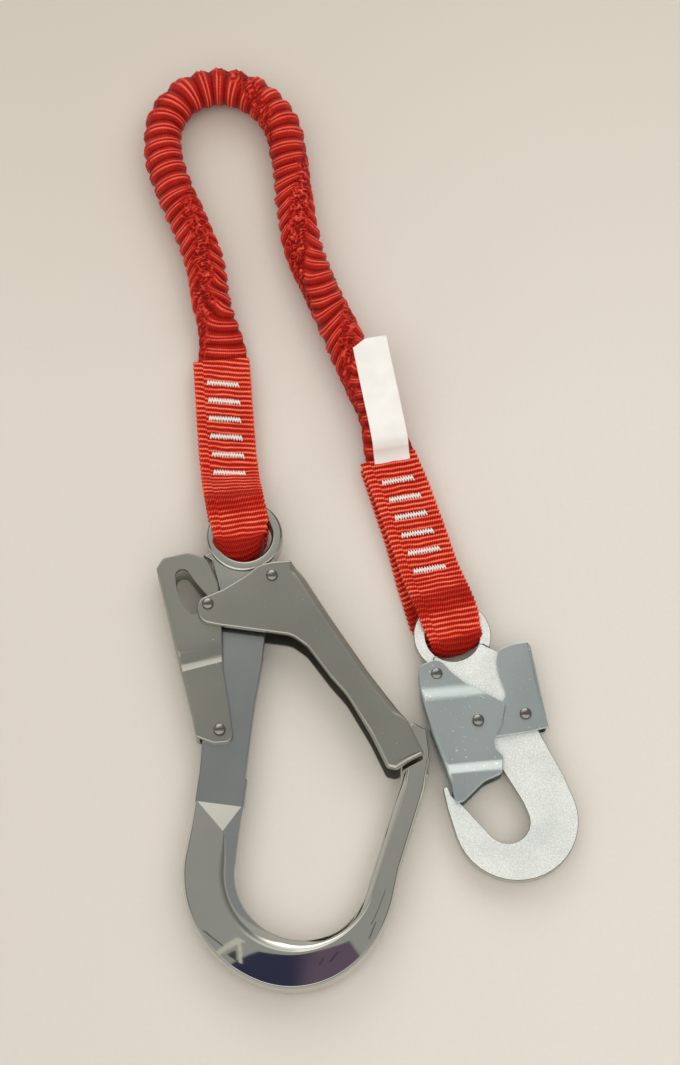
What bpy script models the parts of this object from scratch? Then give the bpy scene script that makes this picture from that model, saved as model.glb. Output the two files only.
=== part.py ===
"""Elastic lanyard: a pleated sleeve over a rubber core, with a scaffold hook and a snap hook sewn on.

The lanyard lies in an arch on a flat surface, +Z up. Each hook is drawn in its own frame, in
millimetres: the origin is the centre of its eye, +Y points up its strap, z = 0 is its mid-plane.
"""
import math

import bmesh
import bpy
from mathutils import Matrix, Vector

MM = 0.001

# Clearances
SEAT_GAP = 0.3           # between pieces that rest on each other
RUN_GAP = 0.25           # radial, between a rivet and the hole it turns in
FACE_STEP = 0.02         # keeps the faces of joined plates from lying in one plane
CUTTER_HALF = 30.0       # half height of a cutter, well past every sheet
ROUND_SIDES = 24
EYE_SIDES = 40

# Straps, the same on both ends
STRAP_WIDTH = 27.5
STRAP_THICKNESS = 9.4
STRAP_END = 98.6         # eye centre to the end of the sewn zone
FLEX_Y = 28.6            # eye centre to the line where the loop leaves the sewn zone
WEB_THICKNESS = 2.4      # tubular webbing pressed flat
LOOP_NECK = 2.4          # thickness where the loop leaves the sewn zone
LOOP_SHOULDER = 1.0      # rim to the point where the loop starts to close
LOOP_LEAD = 4.0          # how much later its lower side closes
LOOP_SIDE_GAP = 0.6      # loop to the wall of the eye's hole
LOOP_TRIM = 0.4          # taken off each side edge of the loop
TACK_LENGTH = 15.0
TACK_WIDTH = 1.8
TACK_COUNT = 6
TACK_PITCH = 9.8
TACK_FIRST = 85.0        # eye centre to the furthest bartack
STITCH_RISE = 0.3        # how far the thread stands proud of the webbing

# Sleeve and core
SLEEVE_CREST = 10.5      # radius over the pleats
SLEEVE_VALLEY = 8.4      # radius between the pleats
SLEEVE_END = 5.6         # radius where the sleeve runs into a strap
SLEEVE_BORE = 4.9
CORE_RADIUS = 3.9
PLEAT_COUNT = 54
TAPER_LENGTH = 26.0
TAPER_PLEAT = 0.2        # share of the pleats' depth where the taper starts
SLEEVE_SIDES = 12
CORE_SIDES = 10
CORE_STEP = 8.0
SLEEVE_HEIGHT = 10.6     # centre line above the surface

# The route of the sleeve, chosen by hand, in millimetres on the surface
ROUTE = [
    (-75.3, 184.4), (-79.9, 208.4), (-87.7, 230.4), (-96.5, 252.4), (-102.7, 274.4),
    (-101.7, 294.4), (-90.7, 309.6), (-73.4, 314.9), (-55.5, 308.4), (-42.3, 292.4),
    (-37.1, 270.4), (-34.3, 244.4), (-29.7, 218.4), (-20.9, 193.9), (-11.5, 170.9), (-1.7, 146.4),
]

# Label tag
LABEL_WIDTH = 17.5
LABEL_THICKNESS = 0.5
LABEL_TURN = -6.5
LABEL_PROFILE = [(94.5, 10.4), (97.4, 13.6), (98.4, 17.0), (104.0, 19.9), (113.0, 21.9), (123.0, 22.3),
                 (158.0, 22.3)]

# Scaffold hook: placing
SCAFFOLD_EYE = (-56.8, 56.5)
SCAFFOLD_TURN = 5.3
SCAFFOLD_STRAP_X = -3.8

# Scaffold hook: plate, eye and bowl
EYE_HOLE = 13.0
EYE_RIM = 18.4
EYE_THICKNESS = 9.0
PLATE_THICKNESS = 7.0
BAR_THICKNESS = 12.0
BOWL_DROP = 166.8        # eye centre to the bowl's centre, along the strap
DRAWN_DROP = 166.8       # the drop that the outlines below are drawn for
STRETCH = BOWL_DROP / DRAWN_DROP
BOWL_CENTRE = (13.5, -BOWL_DROP)
BOWL_RADIUS = 30.0
BOWL_START = 168.7       # angle where the left arm runs into the bowl
BOWL_END = 337.3         # angle where the right arm leaves it
BAR_WIDE = 24.0
BAR_NARROW = 13.0
BAR_TAPER = (245.0, 345.0)   # angles between which the bar narrows
BOWL_TURNS = 14
ARM_WIDTH = 21.2
NECK_TOP = -120.7 * STRETCH   # height of the top of the bar's thin neck
SHOULDER_RUN = 32.5      # bowl to the foot of the thin neck
SHOULDER_LENGTH = 15.0   # run over which the plate swells to the bar
SHOULDER_RIDGE = 1.3     # how far the bar's outer edge stands off the plate at the foot of the neck
RIGHT_ARM_TOP = -124.9 * STRETCH   # height of its inner edge's end
RIGHT_ARM_WIDTH = 11.8
ARM_TURN = 5.0           # last run of the right arm, over which it turns to its slanting end
END_SLANT = 49.0
END_WIDTH = 14.4
BEVEL_WIDE = 7.4         # width of the bevel around the inside of the bar, at the left arm
BEVEL_NARROW = 3.2       # and at the right arm
BEVEL_TAPER = (200.0, 320.0)   # angles between which the bevel narrows
BEVEL_DROP = 2.8
OUTER_CHAMFER = 1.2
NECK_CHAMFER = 0.6
TIP_SWEEP = (-56.6, -52.4)   # directions from the gate's pivot across the seat of its tip

# Scaffold hook: gate, latch and pins
GATE_PIVOT = (11.5, -23.7 * STRETCH)
LATCH_PIVOT = (-18.8, -96.7 * STRETCH)
LOCK_PIN = (-19.8, -35.3 * STRETCH)
GATE_OPEN = 30.0
LATCH_SQUEEZE = 7.0
SQUEEZE_ENTRY = 0.94     # share of the squeeze after which the slot's path turns
GATE_SHEET = 2.0
GATE_GAP = 14.2          # between the gate's cheeks
LATCH_SHEET = 1.8
LATCH_GAP_LOW = PLATE_THICKNESS + 0.8
LATCH_GAP_HIGH = 9.8
LATCH_GAP_BEND = 9.2     # gap where the joggle turns steep
LATCH_JOGGLE = (-66.0 * STRETCH, -61.5 * STRETCH, -54.0 * STRETCH)
WEB_PULL = 2.5           # pull on the far end of the cut that ends the gate's web, clear of its corner
FOLD_ROUND = 0.9         # outside radius of a fold, as a share of its sheet
RIVET_RADIUS = 2.1
RIVET_HEAD = 2.75
RIVET_RISE = 1.2
RIVET_EDGE = 0.3         # height of a rivet head's straight edge
RIVET_SIDES = 20
LOCK_PIN_RADIUS = 2.9
SLOT_GAP = 0.5           # lock pin to the wall of its slot
BUSH_RADIUS = 3.5
GATE_LOBE = 9.2          # plate around the gate pivot

# Snap hook: placing
SNAP_EYE = (42.3, 6.8)
SNAP_TURN = 17.0
SNAP_STRAP_X = 0.8

# Snap hook: plate
SNAP_RIM = 18.3
SNAP_PLATE = 5.5
SNAP_BOWL_OUTER = ((0.0, -93.5), 28.6)
SNAP_BOWL_INNER = ((-4.0, -93.5), 10.2)

# Snap hook: gate, lever and pins
SNAP_GATE_PIVOT = (-13.3, -16.6)
SNAP_LEVER_PIVOT = (20.2, -47.4)
SNAP_LOCK_PIN = (-2.2, -44.5)
SNAP_GATE_OPEN = 18.0
SNAP_LEVER_SQUEEZE = 10.0
SNAP_SHEET = 1.5
SNAP_TAB_GAP = 6.2
SNAP_BOX_GAP = 10.2
SNAP_LEVER_GAP = 6.3
SNAP_BOX = ((-67.0, -64.0), (-31.0, -24.0))
SNAP_PIN_RADIUS = 2.4
SNAP_LOBE = 7.2
NOTCH_OVERRUN = 3.0      # how far the plate's notch runs on to its open side, in pin steps
LEVER_OVERRUN = 1.6      # how far the lever's notch runs past its full squeeze

# Springs
SPRING_WIRE = 1.0
SPRING_TURNS = 1.2
SPRING_STEPS = 9         # points in one turn
GATE_SPRING_LEGS = ((14.0, -33.0 * STRETCH), (26.0, -34.0 * STRETCH))
LEAF_THICKNESS = 0.7
LEAF_WIDE = 6.0
LEAF_NARROW = 4.6
LATCH_LEAF = (-92.0 * STRETCH, -68.0 * STRETCH)   # heights of its foot and its top
LATCH_SPRING_SPREAD = 5.0
SNAP_GATE_LEAF = (-52.0, -36.0)
SNAP_GATE_SPRING_SPREAD = 6.5
LEVER_LEAF = (-40.0, -27.0)
LEVER_SPRING_SPREAD = 3.6

SCAFFOLD_MID = GATE_GAP / 2 + GATE_SHEET + SEAT_GAP + RIVET_RISE
SNAP_MID = SNAP_BOX_GAP / 2 + SNAP_SHEET + SEAT_GAP + RIVET_RISE


def clear_scene():
    for obj in list(bpy.data.objects):
        bpy.data.objects.remove(obj, do_unlink=True)


def material(name, colour, roughness, metallic):
    made = bpy.data.materials.new(name)
    made.use_nodes = True
    surface = made.node_tree.nodes["Principled BSDF"]
    surface.inputs["Base Color"].default_value = (*colour, 1.0)
    surface.inputs["Roughness"].default_value = roughness
    surface.inputs["Metallic"].default_value = metallic
    made.diffuse_color = (*colour, 1.0)
    return made


# Plane geometry, in millimetres

def turned_point(point, pivot, degrees):
    """The point turned about the pivot, counter-clockwise."""
    angle = math.radians(degrees)
    x, y = point[0] - pivot[0], point[1] - pivot[1]
    return (pivot[0] + x * math.cos(angle) - y * math.sin(angle),
            pivot[1] + x * math.sin(angle) + y * math.cos(angle))


def arc(centre, radius, start, end, step=15.0):
    count = max(2, math.ceil(abs(end - start) / step))
    angles = [math.radians(start + (end - start) * i / count) for i in range(count + 1)]
    return [(centre[0] + radius * math.cos(a), centre[1] + radius * math.sin(a)) for a in angles]


def rounded(corners, closed=True):
    """Points of an outline whose corners (x, y, radius) are replaced by arcs."""
    points = []
    count = len(corners)
    for i, corner in enumerate(corners):
        here = Vector(corner[:2])
        radius = corner[2] if len(corner) > 2 else 0.0
        at_end = not closed and i in (0, count - 1)
        if radius == 0.0 or at_end:
            points.append(tuple(here))
            continue
        before = Vector(corners[i - 1][:2]) - here
        after = Vector(corners[(i + 1) % count][:2]) - here
        half = before.angle(after) / 2
        reach = min(radius / math.tan(half), 0.45 * before.length, 0.45 * after.length)
        radius = reach * math.tan(half)
        sweep = math.pi - 2 * half
        centre = here + (before.normalized() + after.normalized()).normalized() * radius / math.sin(half)
        first = here + before.normalized() * reach - centre
        side = 1.0 if before.cross(after) < 0 else -1.0
        steps = max(1, math.ceil(math.degrees(sweep) / 18.0))
        for k in range(steps + 1):
            angle = side * sweep * k / steps
            turned = Matrix.Rotation(angle, 2) @ first
            points.append(tuple(centre + turned))
    return points


def offset_line(points, distance):
    """An open line moved to its right by a distance."""
    moved = []
    for i, point in enumerate(points):
        before = Vector(points[max(i - 1, 0)])
        after = Vector(points[min(i + 1, len(points) - 1)])
        along = (after - before).normalized()
        moved.append((point[0] + along.y * distance, point[1] - along.x * distance))
    return moved


def stroke(path, half_width):
    """Outline of a slot with round ends that follows a path."""
    left = offset_line(path, -half_width)
    right = offset_line(path, half_width)
    head = Vector(path[-1]) - Vector(path[-2])
    tail = Vector(path[1]) - Vector(path[0])
    head_angle = math.degrees(math.atan2(head.y, head.x))
    tail_angle = math.degrees(math.atan2(tail.y, tail.x))
    head_cap = arc(path[-1], half_width, head_angle - 90, head_angle + 90, 30)[1:-1]
    tail_cap = arc(path[0], half_width, tail_angle + 90, tail_angle + 270, 30)[1:-1]
    return right + head_cap + left[::-1] + tail_cap


def ramp(stations):
    """A height that runs straight between stations (y, height), flat beyond them."""
    def height(y):
        if y <= stations[0][0]:
            return stations[0][1]
        for (y0, h0), (y1, h1) in zip(stations, stations[1:]):
            if y <= y1:
                return h0 + (h1 - h0) * (y - y0) / (y1 - y0)
        return stations[-1][1]
    return height


def eased(start, end, share):
    share = min(max(share, 0.0), 1.0)
    return start + (end - start) * (0.5 - 0.5 * math.cos(math.pi * share))


# Solids

def finish(bm, name, finish_material, parent=None, pivot=(0.0, 0.0, 0.0)):
    """Turn a bmesh in millimetres into an object whose origin is its pivot."""
    bmesh.ops.recalc_face_normals(bm, faces=bm.faces)
    bmesh.ops.translate(bm, verts=bm.verts, vec=-Vector(pivot))
    bmesh.ops.scale(bm, verts=bm.verts, vec=(MM, MM, MM))
    mesh = bpy.data.meshes.new(name)
    bm.to_mesh(mesh)
    bm.free()
    mesh.shade_smooth()
    mesh.set_sharp_from_angle(angle=math.radians(32))
    if finish_material:
        mesh.materials.append(finish_material)
    obj = bpy.data.objects.new(name, mesh)
    bpy.context.collection.objects.link(obj)
    obj.parent = parent
    obj.location = Vector(pivot) * MM
    return obj


def prism_mesh(points, half, cuts=(), bend=None, bend_radius=0.0):
    """A plate of the outline, half(y) to each side of the mid-plane; bend(x, y) picks rounded edges."""
    bm = bmesh.new()
    bm.faces.new([bm.verts.new((x, y, 0.0)) for x, y in points])
    for y in cuts:
        geometry = bm.verts[:] + bm.edges[:] + bm.faces[:]
        bmesh.ops.bisect_plane(bm, geom=geometry, dist=1e-5, plane_co=(0, y, 0), plane_no=(0, 1, 0))
    low = bm.verts[:]
    made = bmesh.ops.extrude_face_region(bm, geom=bm.faces[:])
    high = [item for item in made["geom"] if isinstance(item, bmesh.types.BMVert)]
    for vert in low:
        vert.co.z = -half(vert.co.y)
    for vert in high:
        vert.co.z = half(vert.co.y)
    if bend:
        rim = [e for e in bm.edges
               if all(bend(v.co.x, v.co.y) for v in e.verts)
               and e.verts[0].co.z * e.verts[1].co.z > 0
               and any(abs(f.normal.z) < 0.5 for f in e.link_faces)]
        bmesh.ops.recalc_face_normals(bm, faces=bm.faces)
        bmesh.ops.bevel(bm, geom=rim, offset=bend_radius, segments=2, profile=0.5, affect="EDGES")
    return bm


def prism(name, points, half, finish_material=None, parent=None, pivot=(0, 0), cuts=(), **bend):
    height = half if callable(half) else (lambda y: half)
    bm = prism_mesh(points, height, cuts, **bend)
    return finish(bm, name, finish_material, parent, (*pivot, 0.0))


def revolve(name, profile, centre, finish_material=None, parent=None, sides=ROUND_SIDES):
    """A turned piece on an axis along z; profile is (radius, z) from its axis round to its axis."""
    bm = bmesh.new()
    rings = []
    for radius, z in profile:
        if radius == 0.0:
            rings.append([bm.verts.new((*centre, z))])
            continue
        angles = [2 * math.pi * k / sides for k in range(sides)]
        rings.append([bm.verts.new((centre[0] + radius * math.cos(a), centre[1] + radius * math.sin(a), z))
                      for a in angles])
    closed = profile[0][0] != 0.0
    pairs = list(zip(rings, rings[1:] + rings[:1])) if closed else list(zip(rings, rings[1:]))
    for lower, upper in pairs:
        for k in range(sides):
            n = (k + 1) % sides
            corners = [lower[k % len(lower)], lower[n % len(lower)]]
            corners += [upper[n % len(upper)], upper[k % len(upper)]]
            bm.faces.new(list(dict.fromkeys(corners)))
    return finish(bm, name, finish_material, parent, (*centre, 0.0))


def apply_boolean(target, other, operation):
    other.hide_render = True
    other.display_type = "WIRE"
    modifier = target.modifiers.new(other.name, "BOOLEAN")
    modifier.operation = operation
    modifier.solver = "EXACT"
    modifier.object = other


def cut(target, cutter):
    apply_boolean(target, cutter, "DIFFERENCE")


def join(target, other):
    apply_boolean(target, other, "UNION")


def disc(centre, radius, sides=ROUND_SIDES):
    step = 360.0 / sides
    return arc(centre, radius, 0, 360 - step, step)


def drill(target, name, centre, radius, parent, sides=ROUND_SIDES):
    cut(target, prism(name, disc(centre, radius, sides), CUTTER_HALF, parent=parent))


def frame(name, eye, turn, height):
    empty = bpy.data.objects.new(name, None)
    bpy.context.collection.objects.link(empty)
    empty.location = (eye[0] * MM, eye[1] * MM, height * MM)
    empty.rotation_euler = (0.0, 0.0, math.radians(turn))
    return empty


def channel(name, spine, edge, sheet, gap, far, finish_material, parent, pivot, cuts=()):
    """A sheet folded to a U: its web follows the spine, two cheeks stand off it to the edge."""
    spine_points = rounded(spine, closed=False)
    points = spine_points + rounded(edge, closed=False)
    fold = {(round(x, 3), round(y, 3)) for x, y in spine_points}

    def on_fold(x, y):
        return any(abs(x - fx) < 0.02 and abs(y - fy) < 0.02 for fx, fy in fold)

    def outer(y):
        return gap(y) / 2 + sheet

    def inner(y):
        return gap(y) / 2

    piece = prism(name, points, outer, finish_material, parent, pivot, cuts,
                  bend=on_fold, bend_radius=sheet * FOLD_ROUND)
    hollow = prism(name + "_hollow", offset_line(spine_points, sheet) + far, inner,
                   parent=parent, cuts=cuts)
    cut(piece, hollow)
    return piece


def rivet(name, centre, shank, stack, finish_material, parent, middle=None):
    """A rivet with two domed heads over a stack of sheets; middle is (radius, half length)."""
    seat = stack / 2 + SEAT_GAP
    dome = [(RIVET_HEAD * math.cos(a), seat + RIVET_EDGE + (RIVET_RISE - RIVET_EDGE) * math.sin(a))
            for a in (0.0, math.pi / 6, math.pi / 3)]
    top = [(shank, seat), (RIVET_HEAD, seat)] + dome + [(0.0, seat + RIVET_RISE)]
    half = ([(middle[0], middle[1]), (shank, middle[1])] if middle else []) + top
    profile = [(r, -z) for r, z in reversed(half)] + half
    return revolve(name, profile, centre, finish_material, parent, RIVET_SIDES)


# Straps, loops and bartacks

def side_solid(name, profile, width, centre_x, finish_material, parent):
    """A solid drawn as its side profile (y, z) and spread across x."""
    bm = bmesh.new()
    bm.faces.new([bm.verts.new((centre_x - width / 2, y, z)) for y, z in profile])
    made = bmesh.ops.extrude_face_region(bm, geom=bm.faces[:])
    moved = [item for item in made["geom"] if isinstance(item, bmesh.types.BMVert)]
    bmesh.ops.translate(bm, verts=moved, vec=(width, 0, 0))
    return finish(bm, name, finish_material, parent)


def strap(name, hook, mid, centre_x, finish_material, thread):
    """The sewn zone of a strap, its round end at the flex line, and the bartacks through it."""
    low = STITCH_RISE - mid
    high = low + STRAP_THICKNESS
    middle = (low + high) / 2
    half = STRAP_THICKNESS / 2
    profile = [(STRAP_END, low), (STRAP_END, high)]
    profile += [(y, z) for y, z in arc((FLEX_Y, middle), half, 90, 270)]
    body = side_solid(name + "_strap", profile, STRAP_WIDTH, centre_x, finish_material, hook)
    for i in range(TACK_COUNT):
        y = TACK_FIRST - i * TACK_PITCH
        reach = (TACK_LENGTH - TACK_WIDTH) / 2
        line = [(centre_x - reach, y), (centre_x + reach, y)]
        slot = prism(f"{name}_tack_slot_{i + 1}", stroke(line, TACK_WIDTH / 2 + SEAT_GAP), CUTTER_HALF,
                     parent=hook)
        cut(body, slot)
        tack = prism(f"{name}_bartack_{i + 1}", stroke(line, TACK_WIDTH / 2), half + STITCH_RISE,
                     thread, hook, (centre_x, y))
        tack.location.z = middle * MM
    return body


def loop(name, hook, mid, centre_x, rim, thickness, finish_material):
    """The webbing loop through the eye: a drop seen from the side, cut to the eye's hole in plan."""
    low = STITCH_RISE - mid
    neck_z = low + STRAP_THICKNESS / 2
    start = FLEX_Y - STRAP_THICKNESS / 2 - SEAT_GAP
    top = thickness / 2 + SEAT_GAP + WEB_THICKNESS
    hole = EYE_HOLE - LOOP_SIDE_GAP
    bend = (top - low) / 2
    bend_y = bend - hole
    shoulder = rim + LOOP_SHOULDER
    outside = [(start, neck_z - LOOP_NECK / 2), (start, neck_z + LOOP_NECK / 2), (shoulder, top)]
    outside += arc((bend_y, (top + low) / 2), bend, 90, 270, 20) + [(shoulder - LOOP_LEAD, low)]
    inner = bend - WEB_THICKNESS
    inside = [(start - WEB_THICKNESS * 1.25, neck_z), (shoulder - WEB_THICKNESS / 4, top - WEB_THICKNESS)]
    inside += arc((bend_y, (top + low) / 2), inner, 90, 270, 20)
    inside += [(shoulder - LOOP_LEAD - WEB_THICKNESS / 5, low + WEB_THICKNESS)]
    piece = side_solid(name, outside, STRAP_WIDTH, centre_x, finish_material, hook)
    hollow = side_solid(name + "_hollow", inside, STRAP_WIDTH * 2, centre_x, None, hook)
    cut(piece, hollow)
    plan = arc((0.0, 0.0), hole, 180, 360, 12)
    right = centre_x + STRAP_WIDTH / 2 - LOOP_TRIM
    left = centre_x - STRAP_WIDTH / 2 + LOOP_TRIM
    plan += [(right, start), (right, FLEX_Y), (left, FLEX_Y), (left, start)]
    trim = prism(name + "_plan", plan, CUTTER_HALF, parent=hook)
    apply_boolean(piece, trim, "INTERSECT")
    return piece


# Sleeve and core

def smooth_route(points, step):
    """Points at even steps along a smooth curve through the given points."""
    fine = []
    padded = [points[0] * 2 - points[1]] + points + [points[-1] * 2 - points[-2]]
    for p0, p1, p2, p3 in zip(padded, padded[1:], padded[2:], padded[3:]):
        for k in range(16):
            t = k / 16
            fine.append(0.5 * (2 * p1 + (p2 - p0) * t + (2 * p0 - 5 * p1 + 4 * p2 - p3) * t * t
                               + (3 * p1 - p0 - 3 * p2 + p3) * t ** 3))
    fine.append(points[-1])
    lengths = [0.0]
    for a, b in zip(fine, fine[1:]):
        lengths.append(lengths[-1] + (b - a).length)
    count = round(lengths[-1] / step)
    even = []
    k = 0
    for i in range(count + 1):
        want = lengths[-1] * i / count
        while k < len(lengths) - 2 and lengths[k + 1] < want:
            k += 1
        share = (want - lengths[k]) / (lengths[k + 1] - lengths[k])
        even.append(fine[k].lerp(fine[k + 1], min(max(share, 0.0), 1.0)))
    return even, lengths[-1]


def tube(name, path, radii, finish_material, sides):
    bm = bmesh.new()
    rings = []
    for i, (point, radius) in enumerate(zip(path, radii)):
        along = (path[min(i + 1, len(path) - 1)] - path[max(i - 1, 0)]).normalized()
        across = Vector((-along.y, along.x, 0.0))
        ring = []
        for k in range(sides):
            angle = 2 * math.pi * (k + 0.5) / sides
            offset = across * math.cos(angle) + Vector((0, 0, 1)) * math.sin(angle)
            ring.append(bm.verts.new(point + offset * radius))
        rings.append(ring)
    for lower, upper in zip(rings, rings[1:]):
        for k in range(sides):
            n = (k + 1) % sides
            bm.faces.new((lower[k], lower[n], upper[n], upper[k]))
    bm.faces.new(rings[0])
    bm.faces.new(rings[-1])
    return finish(bm, name, finish_material)


def strap_end(hook_eye, turn, centre_x, beyond):
    """A point on the strap's centre line, a distance beyond the end of its sewn zone."""
    x, y = turned_point((centre_x, STRAP_END + beyond), (0, 0), turn)
    return Vector((hook_eye[0] + x, hook_eye[1] + y, SLEEVE_HEIGHT))


def sleeve_and_core(webbing, rubber):
    straight = 2 * SLEEVE_CREST
    points = [strap_end(SCAFFOLD_EYE, SCAFFOLD_TURN, SCAFFOLD_STRAP_X, d) for d in (SEAT_GAP, straight / 2)]
    points += [Vector((x, y, SLEEVE_HEIGHT)) for x, y in ROUTE]
    points += [strap_end(SNAP_EYE, SNAP_TURN, SNAP_STRAP_X, d) for d in (straight, straight / 2, SEAT_GAP)]
    rough, total = smooth_route(points, CORE_STEP)
    path, total = smooth_route(points, total / (2 * PLEAT_COUNT))
    radii = []
    for i in range(len(path)):
        run = total * min(i, len(path) - 1 - i) / (len(path) - 1)
        full = eased(SLEEVE_END, SLEEVE_CREST, run / TAPER_LENGTH)
        drop = (SLEEVE_CREST - SLEEVE_VALLEY) * eased(TAPER_PLEAT, 1.0, run / TAPER_LENGTH)
        radii.append(full - (0.0 if i % 2 else drop))
    sleeve = tube("elastic_sleeve", path, radii, webbing, SLEEVE_SIDES)
    bore_path = [rough[0] * 2 - rough[1]] + rough + [rough[-1] * 2 - rough[-2]]
    cut(sleeve, tube("sleeve_bore", bore_path, [SLEEVE_BORE] * len(bore_path), None, CORE_SIDES))
    tube("elastic_core", rough, [CORE_RADIUS] * len(rough), rubber, CORE_SIDES)


def label_tag(hook, finish_material):
    centre = (SNAP_STRAP_X, STRAP_END)
    upper = [(y, z - SNAP_MID + LABEL_THICKNESS) for y, z in LABEL_PROFILE]
    lower = [(y, z - SNAP_MID) for y, z in LABEL_PROFILE]
    tag = side_solid("label_tag", lower + upper[::-1], LABEL_WIDTH, 0.0, finish_material, hook)
    tag.data.transform(Matrix.Translation((0.0, -centre[1] * MM, 0.0)))
    tag.location = (centre[0] * MM, centre[1] * MM, 0.0)
    tag.rotation_euler = (0.0, 0.0, math.radians(LABEL_TURN))


# Scaffold hook

def drawn(points):
    """Outline points (x, y, radius) whose heights follow the hook's drop."""
    return [(x, y * STRETCH, *radius) for x, y, *radius in points]


GATE_SPINE = drawn([(21.1, -16.8), (26.9, -24.8, 20), (37.6, -46.5, 60), (53.0, -75.7, 60), (63.7, -93.6, 30),
                    (68.2, -101.4)])
GATE_EDGE = drawn([(68.3, -101.6), (70.9, -108.5, 8), (74.2, -117.8, 1.5), (66.7, -120.9, 6),
                   (60.5, -124.2, 2), (56.4, -122.8, 2), (50.5, -106.5, 20), (41.5, -86.5, 30),
                   (34.5, -76.5, 20), (25.0, -60.5, 12), (18.0, -54.3, 10), (3.0, -50.8, 20),
                   (-14.0, -46.8, 15), (-24.8, -43.6, 7), (-24.9, -32.6, 5), (-12.0, -28.3, 12),
                   (-1.5, -22.6, 15), (5.5, -17.6, 6), (13.0, -16.3, 6), (21.0, -16.75)])
GATE_FAR = drawn([(95.0, -140.0), (-45.0, -140.0), (-45.0, -5.0), (10.0, -5.0)])
LATCH_SPINE = drawn([(-30.3, -95.4), (-33.1, -77.3, 60), (-37.0, -54.1, 60), (-43.0, -14.5)])
LATCH_EDGE = drawn([(-42.9, -13.9), (-39.5, -8.9, 3), (-27.6, -7.2, 5), (-18.6, -11.4, 5), (-14.2, -24.2, 8),
                    (-14.0, -47.5, 10), (-15.0, -66.0, 15), (-13.6, -84.0, 15), (-12.6, -103.0, 5.5),
                    (-22.0, -102.8, 4), (-30.0, -98.8, 1.2), (-30.25, -95.6)])
LATCH_FAR = drawn([(-41.0, -4.0), (5.0, -4.0), (5.0, -112.0), (-28.0, -112.0)])
PLATE_EDGE = drawn([(-12.0, -4.0), (-20.3, -8.2, 0.8), (-16.4, -11.2, 1.5), (-14.3, -26.0, 8),
                    (-14.8, -45.0, 15), (-20.5, -72.0, 30), (-26.0, -92.0, 20), (-29.4, -114.6, 20),
                    (-34.2, -137.0), (-12.0, -137.0), (-5.2, -102.4, 60), (-1.6, -84.9, 60),
                    (3.6, -64.3, 60), (6.6, -48.0, 20), (7.0, -34.0), (15.0, -16.0), (12.0, -6.0)])
NOSE_EDGE = drawn([(62.0, -129.0), (75.2, -127.0), (77.2, -116.0, 6), (76.9, -104.5, 4)])
NOSE_ROOT = drawn([(64.2, -110.0)])


def bar_station(inner, direction, width, half, bevel, drop, outer_chamfer, ridge=0.0):
    """One octagon of the bar: inner point, unit vector outward, width, half thickness and bevels."""
    edge = half + ridge
    upper = [(0.0, half - drop), (bevel, half), (width - outer_chamfer, edge), (width, edge - outer_chamfer)]
    section = upper + [(u, -z) for u, z in upper[::-1]]
    return [(inner[0] + direction[0] * u, inner[1] + direction[1] * u, z) for u, z in section]


def bar_width(angle):
    start, end = BAR_TAPER
    return eased(BAR_WIDE, BAR_NARROW, (angle - start) / (end - start))


def bevel_width(angle):
    start, end = BEVEL_TAPER
    return eased(BEVEL_WIDE, BEVEL_NARROW, (angle - start) / (end - start))


def hook_bar(name, parent):
    """The polished bar: down the left arm, round the bowl and up the right arm to the nose."""
    def outward(angle):
        return (math.cos(math.radians(angle)), math.sin(math.radians(angle)))

    def on_bowl(angle):
        d = outward(angle)
        return (BOWL_CENTRE[0] + BOWL_RADIUS * d[0], BOWL_CENTRE[1] + BOWL_RADIUS * d[1])

    plate = PLATE_THICKNESS / 2 - FACE_STEP * 2
    full = BAR_THICKNESS / 2
    stations = []
    entry = on_bowl(BOWL_START)
    up = outward(BOWL_START - 90)
    neck = (NECK_TOP - entry[1]) / up[1]
    for run, half, ridge in ((neck, plate, 0.0), (SHOULDER_RUN, plate, SHOULDER_RIDGE),
                             (SHOULDER_RUN - SHOULDER_LENGTH, full, 0.0), (0.0, full, 0.0)):
        swell = (half - plate) / (full - plate)
        width = ARM_WIDTH + (BAR_WIDE - ARM_WIDTH) * (1.0 - run / neck)
        point = (entry[0] + up[0] * run, entry[1] + up[1] * run)
        stations.append(bar_station(point, outward(BOWL_START), width, half,
                                    eased(NECK_CHAMFER, BEVEL_WIDE, swell),
                                    eased(NECK_CHAMFER, BEVEL_DROP, swell),
                                    eased(NECK_CHAMFER, OUTER_CHAMFER, swell), ridge))
    for i in range(1, BOWL_TURNS + 1):
        angle = BOWL_START + (BOWL_END - BOWL_START) * i / BOWL_TURNS
        stations.append(bar_station(on_bowl(angle), outward(angle), bar_width(angle), full,
                                    bevel_width(angle), BEVEL_DROP, OUTER_CHAMFER))
    leave = on_bowl(BOWL_END)
    up = outward(BOWL_END + 90)
    arm = (RIGHT_ARM_TOP - leave[1]) / up[1]
    for run, slant, width in ((arm / 2, 0.0, RIGHT_ARM_WIDTH), (arm - ARM_TURN, 0.0, RIGHT_ARM_WIDTH),
                              (arm, END_SLANT, END_WIDTH)):
        point = (leave[0] + up[0] * run, leave[1] + up[1] * run)
        stations.append(bar_station(point, outward(BOWL_END + slant), width, full,
                                    BEVEL_NARROW, BEVEL_DROP, OUTER_CHAMFER))
    bm = bmesh.new()
    rings = [[bm.verts.new(co) for co in station] for station in stations]
    for lower, upper in zip(rings, rings[1:]):
        for k, n in ((0, 1), (2, 3), (3, 4), (4, 5), (6, 7), (7, 0)):
            bm.faces.new((lower[k], lower[n], upper[n], upper[k]))
        for inner, outer in ((1, 2), (6, 5)):
            bm.faces.new((lower[inner], lower[outer], upper[inner]))
            bm.faces.new((lower[outer], upper[outer], upper[inner]))
    bm.faces.new(rings[0])
    bm.faces.new(rings[-1])
    return finish(bm, name, None, parent)


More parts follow.
